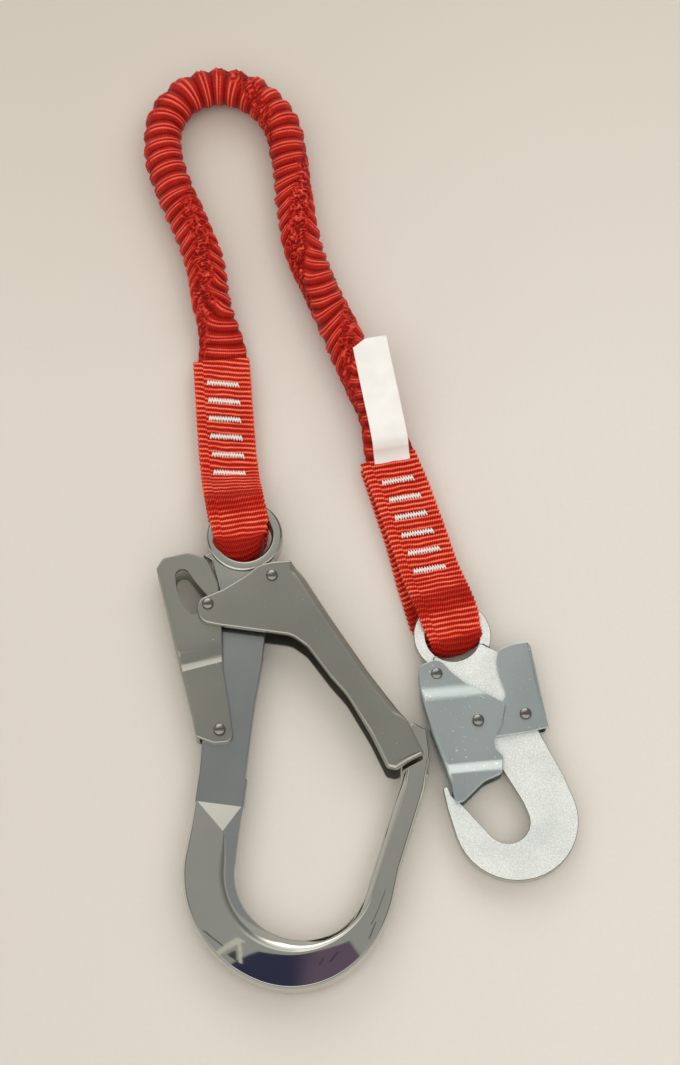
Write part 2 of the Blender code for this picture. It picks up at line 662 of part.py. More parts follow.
def scaffold_body(hook, steel):
    body = prism("scaffold_hook_body", rounded(PLATE_EDGE), PLATE_THICKNESS / 2, steel, hook)
    join(body, prism("eye_rim", disc((0, 0), EYE_RIM, EYE_SIDES), EYE_THICKNESS / 2, parent=hook))
    join(body, prism("gate_lobe", disc(GATE_PIVOT, GATE_LOBE), PLATE_THICKNESS / 2 - FACE_STEP, parent=hook))
    join(body, hook_bar("hook_bar", hook))
    reach = (Vector(GATE_SPINE[-1]) - Vector(GATE_PIVOT)).length + SLOT_GAP
    tip = arc(GATE_PIVOT, reach, *TIP_SWEEP, 2)
    nose = rounded(NOSE_EDGE, closed=False) + tip[::-1] + NOSE_ROOT
    join(body, prism("nose", nose, PLATE_THICKNESS / 2, parent=hook))
    drill(body, "eye_hole", (0, 0), EYE_HOLE, hook, EYE_SIDES)
    drill(body, "gate_pivot_hole", GATE_PIVOT, BUSH_RADIUS + RUN_GAP, hook)
    drill(body, "latch_pivot_hole", LATCH_PIVOT, RIVET_RADIUS + RUN_GAP, hook)
    return body


def scaffold_gate(hook, zinc):
    inner = offset_line(rounded(GATE_SPINE, closed=False), GATE_SHEET)
    low_end = Vector(GATE_SPINE[-1])
    web_end = low_end + (low_end - Vector(inner[-1])) * 4 + Vector((0.0, WEB_PULL))
    far = [tuple(web_end)] + GATE_FAR
    gate = channel("scaffold_gate", GATE_SPINE, GATE_EDGE, GATE_SHEET, lambda y: GATE_GAP, far,
                   zinc, hook, GATE_PIVOT)
    drill(gate, "gate_rivet_hole", GATE_PIVOT, RIVET_RADIUS + RUN_GAP, hook)
    drill(gate, "gate_pin_hole", LOCK_PIN, RIVET_RADIUS + RUN_GAP, hook)
    return gate


def pin_in_latch(gate_share, latch_share):
    """Where the lock pin lies in the latch's own frame, for shares of the two ranges."""
    pin = turned_point(LOCK_PIN, GATE_PIVOT, -GATE_OPEN * gate_share)
    return turned_point(pin, LATCH_PIVOT, LATCH_SQUEEZE * latch_share)


def scaffold_latch(hook, zinc):
    gap = ramp(list(zip(LATCH_JOGGLE, (LATCH_GAP_LOW, LATCH_GAP_BEND, LATCH_GAP_HIGH))))
    latch = channel("scaffold_latch", LATCH_SPINE, LATCH_EDGE, LATCH_SHEET, gap, LATCH_FAR,
                    zinc, hook, LATCH_PIVOT, cuts=LATCH_JOGGLE)
    half = LOCK_PIN_RADIUS + SLOT_GAP
    squeezed = [pin_in_latch(0, 0), pin_in_latch(0, SQUEEZE_ENTRY)]
    squeezed += [pin_in_latch(k / 4, 1) for k in range(1, 5)]
    together = [pin_in_latch(k / 4, k / 4) for k in range(5)]
    cut(latch, prism("latch_slot", stroke(squeezed, half), CUTTER_HALF, parent=hook))
    cut(latch, prism("latch_slot_path", stroke(together, half), CUTTER_HALF - 1.0, parent=hook))
    drill(latch, "latch_rivet_hole", LATCH_PIVOT, RIVET_RADIUS + RUN_GAP, hook)
    return latch


def coil_spring(name, centre, radius, level, height, legs, finish_material, parent):
    """A torsion spring: a short coil on an axis along z, and a straight leg from each end."""
    points = []
    steps = round(SPRING_STEPS * SPRING_TURNS)
    for i in range(steps + 1):
        angle = 2 * math.pi * SPRING_TURNS * i / steps
        rise = height * i / steps
        points.append(Vector((radius * math.cos(angle), radius * math.sin(angle), level + rise)))
    first = Vector((*legs[0], 0.0)) - Vector((*centre, 0.0))
    last = Vector((*legs[1], 0.0)) - Vector((*centre, 0.0))
    first.z = level
    last.z = level + height
    points = [first] + points + [last]
    data = bpy.data.curves.new(name, "CURVE")
    data.dimensions = "3D"
    data.bevel_depth = SPRING_WIRE / 2 * MM
    data.bevel_resolution = 1
    data.use_fill_caps = True
    data.materials.append(finish_material)
    spline = data.splines.new("POLY")
    spline.points.add(len(points) - 1)
    for target, point in zip(spline.points, points):
        target.co = (*(point * MM), 1.0)
    obj = bpy.data.objects.new(name, data)
    bpy.context.collection.objects.link(obj)
    obj.parent = parent
    obj.location = Vector((*centre, 0.0)) * MM
    return obj


def leaf_path(spine, sheet, foot, top, spread):
    """A hairpin whose long leg lies on the inside of a web, from height foot to height top."""
    seat = offset_line(rounded(spine, closed=False), sheet + SEAT_GAP + LEAF_THICKNESS / 2)

    def at_height(y):
        for a, b in zip(seat, seat[1:]):
            if min(a[1], b[1]) <= y <= max(a[1], b[1]):
                return Vector(a).lerp(Vector(b), (y - a[1]) / (b[1] - a[1]))
        raise ValueError("the spring is longer than its web")

    start, end = at_height(foot), at_height(top)
    rise = end - start
    side = Vector((rise.y, -rise.x)).normalized() * spread
    if side.x * (1 if seat[0][0] > spine[0][0] else -1) < 0:
        side = -side
    return [start, start + rise * 0.5, end, end + rise * 0.12 + side * 0.3, end + rise * 0.1 + side * 0.6,
            end - rise * 0.1 + side * 0.85, end - rise * 0.4 + side]


def leaf_spring(name, path, width, finish_material, parent, pivot):
    """A strip of spring steel bent along a path, standing on edge."""
    right = offset_line(path, LEAF_THICKNESS / 2)
    left = offset_line(path, -LEAF_THICKNESS / 2)
    return prism(name, right + left[::-1], width / 2, finish_material, parent, pivot)


def scaffold_hook(steel, zinc, dark, spring):
    hook = frame("scaffold_hook_frame", SCAFFOLD_EYE, SCAFFOLD_TURN, SCAFFOLD_MID)
    scaffold_body(hook, steel)
    scaffold_gate(hook, zinc)
    scaffold_latch(hook, zinc)
    gate_stack = GATE_GAP + 2 * GATE_SHEET
    latch_stack = LATCH_GAP_LOW + 2 * LATCH_SHEET
    rivet("scaffold_gate_pivot", GATE_PIVOT, RIVET_RADIUS, gate_stack, dark, hook)
    rivet("scaffold_latch_pivot", LATCH_PIVOT, RIVET_RADIUS, latch_stack, dark, hook)
    pin = rivet("scaffold_lock_pin", LOCK_PIN, RIVET_RADIUS, gate_stack, dark, hook,
                middle=(LOCK_PIN_RADIUS, GATE_GAP / 2 - SEAT_GAP))
    move_origin(pin, GATE_PIVOT)
    half = GATE_GAP / 2 - SEAT_GAP
    bore = RIVET_RADIUS + RUN_GAP
    bush = [(bore, -half), (BUSH_RADIUS, -half), (BUSH_RADIUS, half), (bore, half)]
    revolve("scaffold_gate_bush", bush, GATE_PIVOT, steel, hook)
    level = PLATE_THICKNESS / 2 + SEAT_GAP + SPRING_WIRE / 2
    height = GATE_GAP / 2 - SEAT_GAP - SPRING_WIRE / 2 - level
    coil = BUSH_RADIUS + SEAT_GAP + SPRING_WIRE / 2
    coil_spring("scaffold_gate_spring", GATE_PIVOT, coil, level, height,
                GATE_SPRING_LEGS, spring, hook)
    leaf = leaf_path(LATCH_SPINE, LATCH_SHEET, *LATCH_LEAF, LATCH_SPRING_SPREAD)
    leaf_spring("scaffold_latch_spring", leaf, LEAF_WIDE, spring, hook, LATCH_PIVOT)
    return hook


def move_origin(obj, pivot):
    """Put the origin of an object on another pivot of the same frame."""
    place = Vector((*pivot, 0.0)) * MM
    obj.data.transform(Matrix.Translation(obj.location - place))
    obj.location = place


# Snap hook

SNAP_SPINE = [(-23.9, -72.8), (-24.4, -58.5, 60), (-25.1, -45.0, 60), (-24.8, -26.0, 20), (-22.4, -18.6)]
SNAP_GATE_EDGE = [(-22.2, -18.2), (-20.9, -10.4, 6), (-10.4, -9.4, 5), (-6.6, -17.6, 8), (-2.4, -24.0, 20),
                  (5.0, -31.9, 20), (12.9, -40.6, 2), (7.3, -50.5, 4), (1.6, -55.4, 3), (1.2, -59.6, 2),
                  (3.6, -64.2, 2), (0.8, -71.6, 3), (-8.4, -72.6, 8), (-20.3, -78.9, 2), (-24.0, -79.0, 1),
                  (-23.95, -73.0)]
LEVER_SPINE = [(33.4, -16.4), (33.0, -21.0, 20), (30.5, -40.1, 60), (28.7, -54.6)]
LEVER_EDGE = [(28.6, -55.2), (27.0, -56.6, 1), (20.0, -56.3, 12), (3.4, -53.9, 8), (-7.0, -50.4, 4),
              (-7.4, -40.6, 1.5), (-4.6, -40.4, 1), (-2.4, -44.0), (8.6, -43.4, 3), (11.9, -39.0, 3),
              (15.0, -35.2, 4), (14.6, -25.9, 8), (15.4, -18.7, 6), (18.3, -13.6, 3), (25.5, -12.9, 10),
              (32.6, -14.0, 1.5), (33.3, -16.2)]
SNAP_NOSE = [(-28.6, -92.0), (-28.4, -80.0, 12), (-27.4, -69.6, 1.2), (-25.3, -69.4, 0.7), (-24.8, -74.5, 2),
             (-21.6, -79.6, 5), (-14.2, -96.6)]
SNAP_ARM = [(6.0, -91.0), (5.6, -86.5, 10), (1.4, -68.5, 15), (0.4, -56.0, 10),
            (-11.0, -27.0, 3), (-15.0, -20.0)]
SNAP_TOP = [(-12.0, -8.0), (12.0, -8.0)]
SNAP_SIDE = [(18.2, -14.0, 8), (20.6, -34.0, 30), (24.2, -60.0, 30), (27.6, -80.0, 15), (28.4, -88.0)]
SNAP_OUTER_SWEEP = (8, -180, 9)
SNAP_INNER_SWEEP = (203, 372, 18)
SNAP_GATE_FAR = [(-30.0, -4.0), (40.0, -4.0), (40.0, -90.0), (-36.0, -90.0)]
LEVER_FAR = [(28.4, -66.0), (-20.0, -66.0), (-20.0, -6.0), (31.8, -6.0)]


def snap_plate_outline():
    outer = arc(*SNAP_BOWL_OUTER, *SNAP_OUTER_SWEEP)
    inner = arc(*SNAP_BOWL_INNER, *SNAP_INNER_SWEEP)
    return (rounded(SNAP_NOSE, closed=False)[1:-1] + inner + rounded(SNAP_ARM, closed=False) + SNAP_TOP
            + rounded(SNAP_SIDE, closed=False)[:-1] + outer)


def snap_body(hook, steel):
    body = prism("snap_hook_body", snap_plate_outline(), SNAP_PLATE / 2, steel, hook)
    rim = disc((0, 0), SNAP_RIM, EYE_SIDES)
    join(body, prism("snap_eye_rim", rim, SNAP_PLATE / 2 - FACE_STEP, parent=hook))
    lobe = disc(SNAP_GATE_PIVOT, SNAP_LOBE)
    join(body, prism("snap_gate_lobe", lobe, SNAP_PLATE / 2 - FACE_STEP * 2, parent=hook))
    drill(body, "snap_eye_hole", (0, 0), EYE_HOLE, hook, EYE_SIDES)
    drill(body, "snap_gate_pivot_hole", SNAP_GATE_PIVOT, RIVET_RADIUS + RUN_GAP, hook)
    drill(body, "snap_lever_pivot_hole", SNAP_LEVER_PIVOT, RIVET_RADIUS + RUN_GAP, hook)
    run = [turned_point(SNAP_LOCK_PIN, SNAP_GATE_PIVOT, SNAP_GATE_OPEN * k / 4) for k in range(5)]
    open_side = Vector(run[0]) + (Vector(run[0]) - Vector(run[1])) * NOTCH_OVERRUN
    notch = stroke([tuple(open_side)] + run, SNAP_PIN_RADIUS + SLOT_GAP)
    cut(body, prism("lock_pin_notch", notch, CUTTER_HALF, parent=hook))
    return body


def snap_gate(hook, zinc):
    (low_0, low_1), (high_0, high_1) = SNAP_BOX
    gap = ramp([(low_0, SNAP_TAB_GAP), (low_1, SNAP_BOX_GAP), (high_0, SNAP_BOX_GAP), (high_1, SNAP_TAB_GAP)])
    inner = offset_line(rounded(SNAP_SPINE, closed=False), SNAP_SHEET)
    low_end = Vector(SNAP_SPINE[0]) + (Vector(SNAP_SPINE[0]) - Vector(inner[0])) * 6
    top_end = Vector(SNAP_SPINE[-1]) + (Vector(SNAP_SPINE[-1]) - Vector(inner[-1])) * 6
    far = [tuple(top_end)] + SNAP_GATE_FAR + [tuple(low_end)]
    gate = channel("snap_gate", SNAP_SPINE, SNAP_GATE_EDGE, SNAP_SHEET, gap, far,
                   zinc, hook, SNAP_GATE_PIVOT, cuts=(low_0, low_1, high_0, high_1))
    drill(gate, "snap_gate_rivet_hole", SNAP_GATE_PIVOT, RIVET_RADIUS + RUN_GAP, hook)
    drill(gate, "snap_gate_pin_hole", SNAP_LOCK_PIN, RIVET_RADIUS + RUN_GAP, hook)
    return gate


def pin_in_lever(gate_share, lever_share):
    """Where the lock pin lies in the lever's own frame, for shares of the two ranges."""
    pin = turned_point(SNAP_LOCK_PIN, SNAP_GATE_PIVOT, SNAP_GATE_OPEN * gate_share)
    return turned_point(pin, SNAP_LEVER_PIVOT, -SNAP_LEVER_SQUEEZE * lever_share)


def snap_lever(hook, zinc):
    lever = channel("snap_lever", LEVER_SPINE, LEVER_EDGE, SNAP_SHEET, lambda y: SNAP_LEVER_GAP, LEVER_FAR,
                    zinc, hook, SNAP_LEVER_PIVOT)
    half = SNAP_PIN_RADIUS + SLOT_GAP
    lift = [pin_in_lever(0, 0), pin_in_lever(0, 1), pin_in_lever(0, LEVER_OVERRUN)]
    together = [pin_in_lever(k / 4, k / 4) for k in range(5)]
    cut(lever, prism("lever_notch", stroke(lift, half), CUTTER_HALF, parent=hook))
    cut(lever, prism("lever_notch_path", stroke(together, half), CUTTER_HALF - 1.0, parent=hook))
    drill(lever, "lever_rivet_hole", SNAP_LEVER_PIVOT, RIVET_RADIUS + RUN_GAP, hook)
    return lever


def snap_hook(steel, zinc, dark, spring):
    hook = frame("snap_hook_frame", SNAP_EYE, SNAP_TURN, SNAP_MID)
    snap_body(hook, steel)
    snap_gate(hook, zinc)
    snap_lever(hook, zinc)
    rivet("snap_gate_pivot", SNAP_GATE_PIVOT, RIVET_RADIUS, SNAP_TAB_GAP + 2 * SNAP_SHEET, dark, hook)
    rivet("snap_lever_pivot", SNAP_LEVER_PIVOT, RIVET_RADIUS, SNAP_LEVER_GAP + 2 * SNAP_SHEET, dark, hook)
    pin = rivet("snap_lock_pin", SNAP_LOCK_PIN, RIVET_RADIUS, SNAP_BOX_GAP + 2 * SNAP_SHEET, dark, hook,
                middle=(SNAP_PIN_RADIUS, SNAP_BOX_GAP / 2 - SEAT_GAP))
    move_origin(pin, SNAP_GATE_PIVOT)
    gate_leaf = leaf_path(SNAP_SPINE, SNAP_SHEET, *SNAP_GATE_LEAF, SNAP_GATE_SPRING_SPREAD)
    leaf_spring("snap_gate_spring", gate_leaf, LEAF_NARROW, spring, hook, SNAP_GATE_PIVOT)
    lever_leaf = leaf_path(LEVER_SPINE, SNAP_SHEET, *LEVER_LEAF, LEVER_SPRING_SPREAD)
    leaf_spring("snap_lever_spring", lever_leaf, LEAF_NARROW, spring, hook, SNAP_LEVER_PIVOT)
    return hook


def build():
    clear_scene()
    webbing = material("red_webbing", (0.52, 0.03, 0.015), 0.85, 0.0)
    thread = material("white_thread", (0.82, 0.80, 0.76), 0.8, 0.0)
    rubber = material("rubber_core", (0.75, 0.70, 0.58), 0.7, 0.0)
    label = material("label_cloth", (0.86, 0.85, 0.82), 0.7, 0.0)
    forged = material("forged_steel", (0.55, 0.57, 0.58), 0.22, 1.0)
    zinc = material("zinc_sheet", (0.36, 0.37, 0.33), 0.42, 1.0)
    plate = material("zinc_plate", (0.62, 0.65, 0.62), 0.4, 1.0)
    grey = material("grey_sheet", (0.42, 0.48, 0.50), 0.38, 1.0)
    dark = material("rivet_steel", (0.10, 0.10, 0.10), 0.3, 1.0)
    spring = material("spring_steel", (0.30, 0.30, 0.30), 0.3, 1.0)
    scaffold = scaffold_hook(forged, zinc, dark, spring)
    snap = snap_hook(plate, grey, dark, spring)
    strap("scaffold", scaffold, SCAFFOLD_MID, SCAFFOLD_STRAP_X, webbing, thread)
    strap("snap", snap, SNAP_MID, SNAP_STRAP_X, webbing, thread)
    loop("scaffold_loop", scaffold, SCAFFOLD_MID, SCAFFOLD_STRAP_X, EYE_RIM, EYE_THICKNESS, webbing)
    loop("snap_loop", snap, SNAP_MID, SNAP_STRAP_X, SNAP_RIM, SNAP_PLATE, webbing)
    sleeve_and_core(webbing, rubber)
    label_tag(snap, label)


build()
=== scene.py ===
"""The looks of the elastic lanyard: red woven webbing, white thread, zinc-coated and polished steel.

Lengths are in millimetres in each hook's own frame (origin at its eye, +Y up its strap), as in part.py,
until they are turned into the row frame in metres. Materials, the table and the light are in metres.
"""
import math

import bmesh
import bpy
import numpy as np
from mathutils import Matrix, Vector


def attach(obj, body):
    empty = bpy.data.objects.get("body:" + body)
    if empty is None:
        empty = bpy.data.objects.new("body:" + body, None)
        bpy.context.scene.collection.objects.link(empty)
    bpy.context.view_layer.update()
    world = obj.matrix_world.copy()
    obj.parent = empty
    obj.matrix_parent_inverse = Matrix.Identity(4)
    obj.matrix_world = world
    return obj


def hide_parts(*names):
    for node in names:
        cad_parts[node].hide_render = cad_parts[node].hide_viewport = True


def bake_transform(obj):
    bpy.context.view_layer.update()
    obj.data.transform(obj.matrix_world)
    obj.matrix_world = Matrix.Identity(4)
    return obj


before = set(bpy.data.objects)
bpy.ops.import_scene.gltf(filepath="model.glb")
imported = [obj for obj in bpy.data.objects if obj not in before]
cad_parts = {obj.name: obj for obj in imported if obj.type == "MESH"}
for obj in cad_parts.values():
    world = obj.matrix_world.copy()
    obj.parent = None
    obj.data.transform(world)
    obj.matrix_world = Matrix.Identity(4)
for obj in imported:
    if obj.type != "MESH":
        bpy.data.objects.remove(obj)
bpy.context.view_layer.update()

MM = 0.001
TAU = 2 * math.pi
SCAFFOLD = {"eye": (-56.8, 56.5), "turn": 5.3, "mid": 10.6, "rim": 18.4, "plate": 9.0, "strap_x": -3.8,
            "bend": -12.0, "bend_radius": 12.7, "narrow": 0.11,
            "shift": [(-14, 0.4), (0, 1.6), (8, 2.0), (16, 0.8), (30, -0.6), (48, -1.2), (70, -1.0),
                      (98, -0.6)],
            "slope": [(-14, 0.05), (16, 0.07), (34, -0.15), (98, -0.19)]}
SCAFFOLD["back_shift"] = SCAFFOLD["shift"]
SNAP = {"eye": (42.3, 6.8), "turn": 17.0, "mid": 8.1, "rim": 18.3, "plate": 5.5, "strap_x": 0.8,
        "bend": -7.6, "bend_radius": 15.5, "narrow": 0.10,
        "shift": [(-14, 0.0), (0, 0.4), (14, 0.7), (34, -0.4), (57, -0.4), (80, -0.7), (98, -1.8)],
        "back_shift": [(-14, 0.0), (0, -1.0), (12, -3.6), (34, -3.2), (57, -1.8), (98, -1.9)],
        "slope": [(-14, -0.12), (98, -0.10)]}
STRAP_END = 98.6
STRAP_LOW, STRAP_HIGH = 0.3, 9.7
STRAP_MIDDLE = (STRAP_LOW + STRAP_HIGH) / 2
WEB = 2.4
RIB = 2.62
TACKS = [85.0 - 9.8 * k for k in range(6)]
ROUTE = [
    (-75.3, 184.4), (-79.9, 208.4), (-87.7, 230.4), (-96.5, 252.4), (-102.7, 274.4),
    (-101.7, 294.4), (-90.7, 309.6), (-73.4, 314.9), (-55.5, 308.4), (-42.3, 292.4),
    (-37.1, 270.4), (-34.3, 244.4), (-29.7, 218.4), (-20.9, 193.9), (-11.5, 170.9), (-1.7, 146.4),
]
SLEEVE_HEIGHT = 10.6


# Small tools

def smooth(low, high, value):
    """A soft step from 0 at low to 1 at high."""
    share = np.clip((value - low) / (high - low), 0.0, 1.0)
    return share * share * (3 - 2 * share)


def keyed(value, keys):
    """Values that run straight between (place, value) keys."""
    return np.interp(value, [place for place, _ in keys], [level for _, level in keys])


def bell(value, width):
    return np.exp(-(value / width) ** 2)


def wave(turns):
    """0 at whole turns and 1 half-way between them."""
    return 0.5 - 0.5 * np.cos(TAU * turns)


def lattice(u, v, seed, wrap=None):
    """Smooth noise from -1 to 1 on a grid of unit cells; wrap is the number of cells round in v."""
    table = np.random.default_rng(seed).uniform(-1, 1, (512, wrap or 512))
    rows, columns = table.shape
    i, j = np.floor(u).astype(int), np.floor(v).astype(int)
    fu, fv = smooth(0, 1, u - i), smooth(0, 1, v - j)
    low, high = [table[i % rows, k % columns] * (1 - fu) + table[(i + 1) % rows, k % columns] * fu
                 for k in (j, j + 1)]
    return low * (1 - fv) + high * fv


def unit(vectors):
    return vectors / np.linalg.norm(vectors, axis=1)[:, None]


def directions(line):
    return unit(np.gradient(line, axis=0))


def left_of(tangent):
    return np.stack([-tangent[:, 1], tangent[:, 0], 0 * tangent[:, 0]], 1)


def even_line(points, step):
    """Catmull-Rom through points (n, 3), at even steps, with the run at each of them."""
    per_span = 24
    ends = np.vstack([2 * points[0] - points[1], points, 2 * points[-1] - points[-2]])
    t = (np.arange(per_span) / per_span)[:, None]
    fine = []
    for p0, p1, p2, p3 in zip(ends, ends[1:], ends[2:], ends[3:]):
        fine.append(0.5 * (2 * p1 + (p2 - p0) * t + (2 * p0 - 5 * p1 + 4 * p2 - p3) * t ** 2
                           + (3 * p1 - p0 - 3 * p2 + p3) * t ** 3))
    return stepped(np.vstack(fine + [points[-1:]]), step)


def stepped(points, step):
    """Points at even steps along a line of straight pieces, with the run at each of them."""
    run = np.concatenate([[0.0], np.cumsum(np.linalg.norm(np.diff(points, axis=0), axis=1))])
    want = np.linspace(0.0, run[-1], max(2, round(run[-1] / step)) + 1)
    return np.stack([np.interp(want, run, axis) for axis in points.T], 1), want


def turned(x, y, degrees):
    angle = math.radians(degrees)
    return x * math.cos(angle) - y * math.sin(angle), x * math.sin(angle) + y * math.cos(angle)


def arc(centre, radius, start, end, step=8.0):
    count = max(2, math.ceil(abs(end - start) / step))
    angles = [math.radians(start + (end - start) * i / count) for i in range(count + 1)]
    return [(centre[0] + radius * math.cos(a), centre[1] + radius * math.sin(a)) for a in angles]


def disc(centre, radius, sides=48):
    return arc(centre, radius, 0, 360 - 360 / sides, 360 / sides)


def to_row(points, hook):
    """Points (..., 3) of a hook's own frame, with heights above the floor, in the row frame in metres."""
    x, y = turned(points[..., 0], points[..., 1], hook["turn"])
    return np.stack([hook["eye"][0] + x, hook["eye"][1] + y, points[..., 2]], -1) * MM


def row_point(hook, x, y, z):
    return [float(v) for v in to_row(np.array([x, y, z], float), hook)]


# Meshes

QUAD = ((0, 0), (0, 1), (1, 1), (1, 0))


def skin(n, m, endless=False):
    """Faces over n rings of m corners each, closed at both ends or, when endless, into a circle of rings."""
    i, j = np.arange(n if endless else n - 1)[:, None], np.arange(m)[None, :]
    quads = np.stack([(i + down) % n * m + (j + on) % m for down, on in QUAD], -1).reshape(-1, 4).tolist()
    return quads if endless else quads + [list(range(m)), list(range((n - 1) * m, n * m))]


def new_object(name, data):
    obj = bpy.data.objects.new(name, data)
    bpy.context.scene.collection.objects.link(obj)
    return obj


def to_mesh(bm, name):
    mesh = bpy.data.meshes.new(name)
    bm.to_mesh(mesh)
    bm.free()
    return mesh


def make_mesh(name, vertices, faces, surface, uvs=None, painted_shading=None):
    """A smooth piece; a woven one has its woven coordinates and the painted light and shade of its relief."""
    mesh = bpy.data.meshes.new(name)
    mesh.from_pydata(vertices.tolist(), [], faces)
    if painted_shading is not None:
        # The relief attribute carries the painted light and shade.
        relief = mesh.attributes.new("relief", "FLOAT", "POINT")
        relief.data.foreach_set("value", painted_shading.astype(np.float32).ravel())
        mesh.uv_layers.new(name="weave").data.foreach_set("uv", np.asarray(uvs, np.float32).ravel())
    bm = bmesh.new()
    bm.from_mesh(mesh)
    bmesh.ops.recalc_face_normals(bm, faces=bm.faces)
    bm.to_mesh(mesh)
    bm.free()
    mesh.shade_smooth()
    mesh.materials.append(surface)
    return new_object(name, mesh)


def sweep(name, rings, across, along, painted_shading, surface):
    """A closed skin over rings (n, m, 3); across and along are its woven coordinates."""
    n, m = rings.shape[:2]
    i, j = np.arange(n - 1)[:, None], np.arange(m)[None, :]
    uv = [np.stack([across[j + on] + 0 * i, along[i + down] + 0 * j], -1).reshape(-1, 2) for down, on in QUAD]
    uv = np.concatenate([np.stack(uv, 1).reshape(-1, 2), np.zeros((2 * m, 2))])
    return make_mesh(name, rings.reshape(-1, 3), skin(n, m), surface, uv, np.clip(painted_shading, 0, 1))


def round_strip(reach, half, flat_steps, side_steps=4):
    """Section of a pressed tube as x and side, which runs from -1 below to 1 above, each (1, m)."""
    flat = reach - half
    xs = np.linspace(-flat, flat, flat_steps)
    angles = np.linspace(-math.pi / 2, math.pi / 2, side_steps + 2)[1:-1]
    top = [(x, 1.0) for x in xs]
    right = [(flat + half * math.cos(a), math.sin(a)) for a in angles[::-1]]
    bottom = [(x, -1.0) for x in xs[::-1]]
    left = [(-flat - half * math.cos(a), math.sin(a)) for a in angles]
    return np.array(top + right + bottom + left).T[:, None, :]


def closed(x0):
    """Woven coordinates across, once round a section and back to its start."""
    return np.append(x0, x0[0, 0])


def tubes(lines, sides):
    """Vertices and faces of tubes with closed ends along lines of (points, radius)."""
    vertices, faces, base = [], [], 0
    angles = (TAU * np.arange(sides) / sides)[None, :, None]
    for points, radius in lines:
        tangent = directions(points)
        side = np.cross(tangent, [0.0, 0.0, 1.0])
        side[np.linalg.norm(side, axis=1) < 0.2] = [1.0, 0.0, 0.0]
        side = unit(side)
        rise = unit(np.cross(side, tangent))
        spokes = np.cos(angles) * side[:, None, :] + np.sin(angles) * rise[:, None, :]
        vertices.append((points[:, None, :] + radius * spokes).reshape(-1, 3))
        faces += [[i + base for i in face] for face in skin(len(points), sides)]
        base += len(vertices[-1])
    return np.vstack(vertices), faces


def declare(piece, body, slot, *nodes):
    """Name the body that a piece rides on and the nodes that it replaces; slot is not used."""
    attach(piece, body)
    if nodes:
        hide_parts(*nodes)


# Materials

class Nodes:
    """A node tree and the few calls that looks are made from; colours are red, green and blue."""

    def __init__(self, tree):
        self.tree = tree

    def node(self, kind, settings=None, **inputs):
        """A new node; its inputs are named, or numbered as i0, i1 and so on."""
        made = self.tree.nodes.new("ShaderNode" + kind)
        for key, value in (settings or {}).items():
            setattr(made, key, value)
        for key, value in inputs.items():
            self.put(made.inputs[int(key[1:]) if key[1:].isdigit() else key], value)
        return made

    def put(self, socket, value):
        if isinstance(value, bpy.types.NodeSocket):
            self.tree.links.new(value, socket)
        else:
            socket.default_value = (*value, 1.0) if socket.type == "RGBA" else value

    def math(self, operation, a, b=None, c=None):
        values = {f"i{k}": v for k, v in enumerate((a, b, c)) if v is not None}
        return self.node("Math", {"operation": operation}, **values).outputs[0]

    def plus(self, a, b):
        return self.math("ADD", a, b)

    def times(self, a, b):
        return self.math("MULTIPLY", a, b)

    def vector(self, operation, a, b):
        made = self.node("VectorMath", {"operation": operation}, i0=a, i1=b)
        return made.outputs["Value" if operation == "DOT_PRODUCT" else "Vector"]

    def split(self, vector):
        return self.node("SeparateXYZ", None, Vector=vector).outputs

    def ramp(self, value, stops):
        made = self.node("ValToRGB", None, Fac=value)
        elements = made.color_ramp.elements
        elements.remove(elements[-1])
        elements[0].position, elements[0].color = stops[0][0], (*stops[0][1], 1.0)
        for place, colour in stops[1:]:
            elements.new(place).color = (*colour, 1.0)
        return made.outputs["Color"]

    def range(self, value, low, high, to_low=0.0, to_high=1.0, kind="LINEAR"):
        settings = {"interpolation_type": kind}
        return self.node("MapRange", settings, Value=value, i1=low, i2=high, i3=to_low, i4=to_high).outputs[0]

    def mix(self, share, a, b):
        return self.node("Mix", {"data_type": "RGBA"}, i0=share, i6=a, i7=b).outputs[2]


class Surface(Nodes):
    """A material: its shader, and the nodes that only a surface has."""

    def __init__(self, name):
        self.material = bpy.data.materials.new(name)
        self.material.use_nodes = True
        super().__init__(self.material.node_tree)
        self.shader = self.tree.nodes["Principled BSDF"]
        self.place = self.node("TexCoord").outputs["Object"]

    def set(self, **inputs):
        for key, value in inputs.items():
            self.put(self.shader.inputs[key.replace("_", " ")], value)

    def woven(self):
        """The woven coordinates across and along a piece, in millimetres."""
        return self.split(self.node("UVMap", {"uv_map": "weave"}).outputs["UV"])[:2]

    def noise(self, scale, detail=3.0, rough=0.5, stretch=None):
        place = self.vector("MULTIPLY", self.place, stretch) if stretch else self.place
        made = self.node("TexNoise", None, Vector=place, Scale=scale, Detail=detail, Roughness=rough)
        return made.outputs["Fac"]

    def bump(self, height, distance, strength, normal=None):
        made = self.node("Bump", None, Height=height, Distance=distance, Strength=strength)
        if normal is not None:
            self.put(made.inputs["Normal"], normal)
        return made.outputs["Normal"]


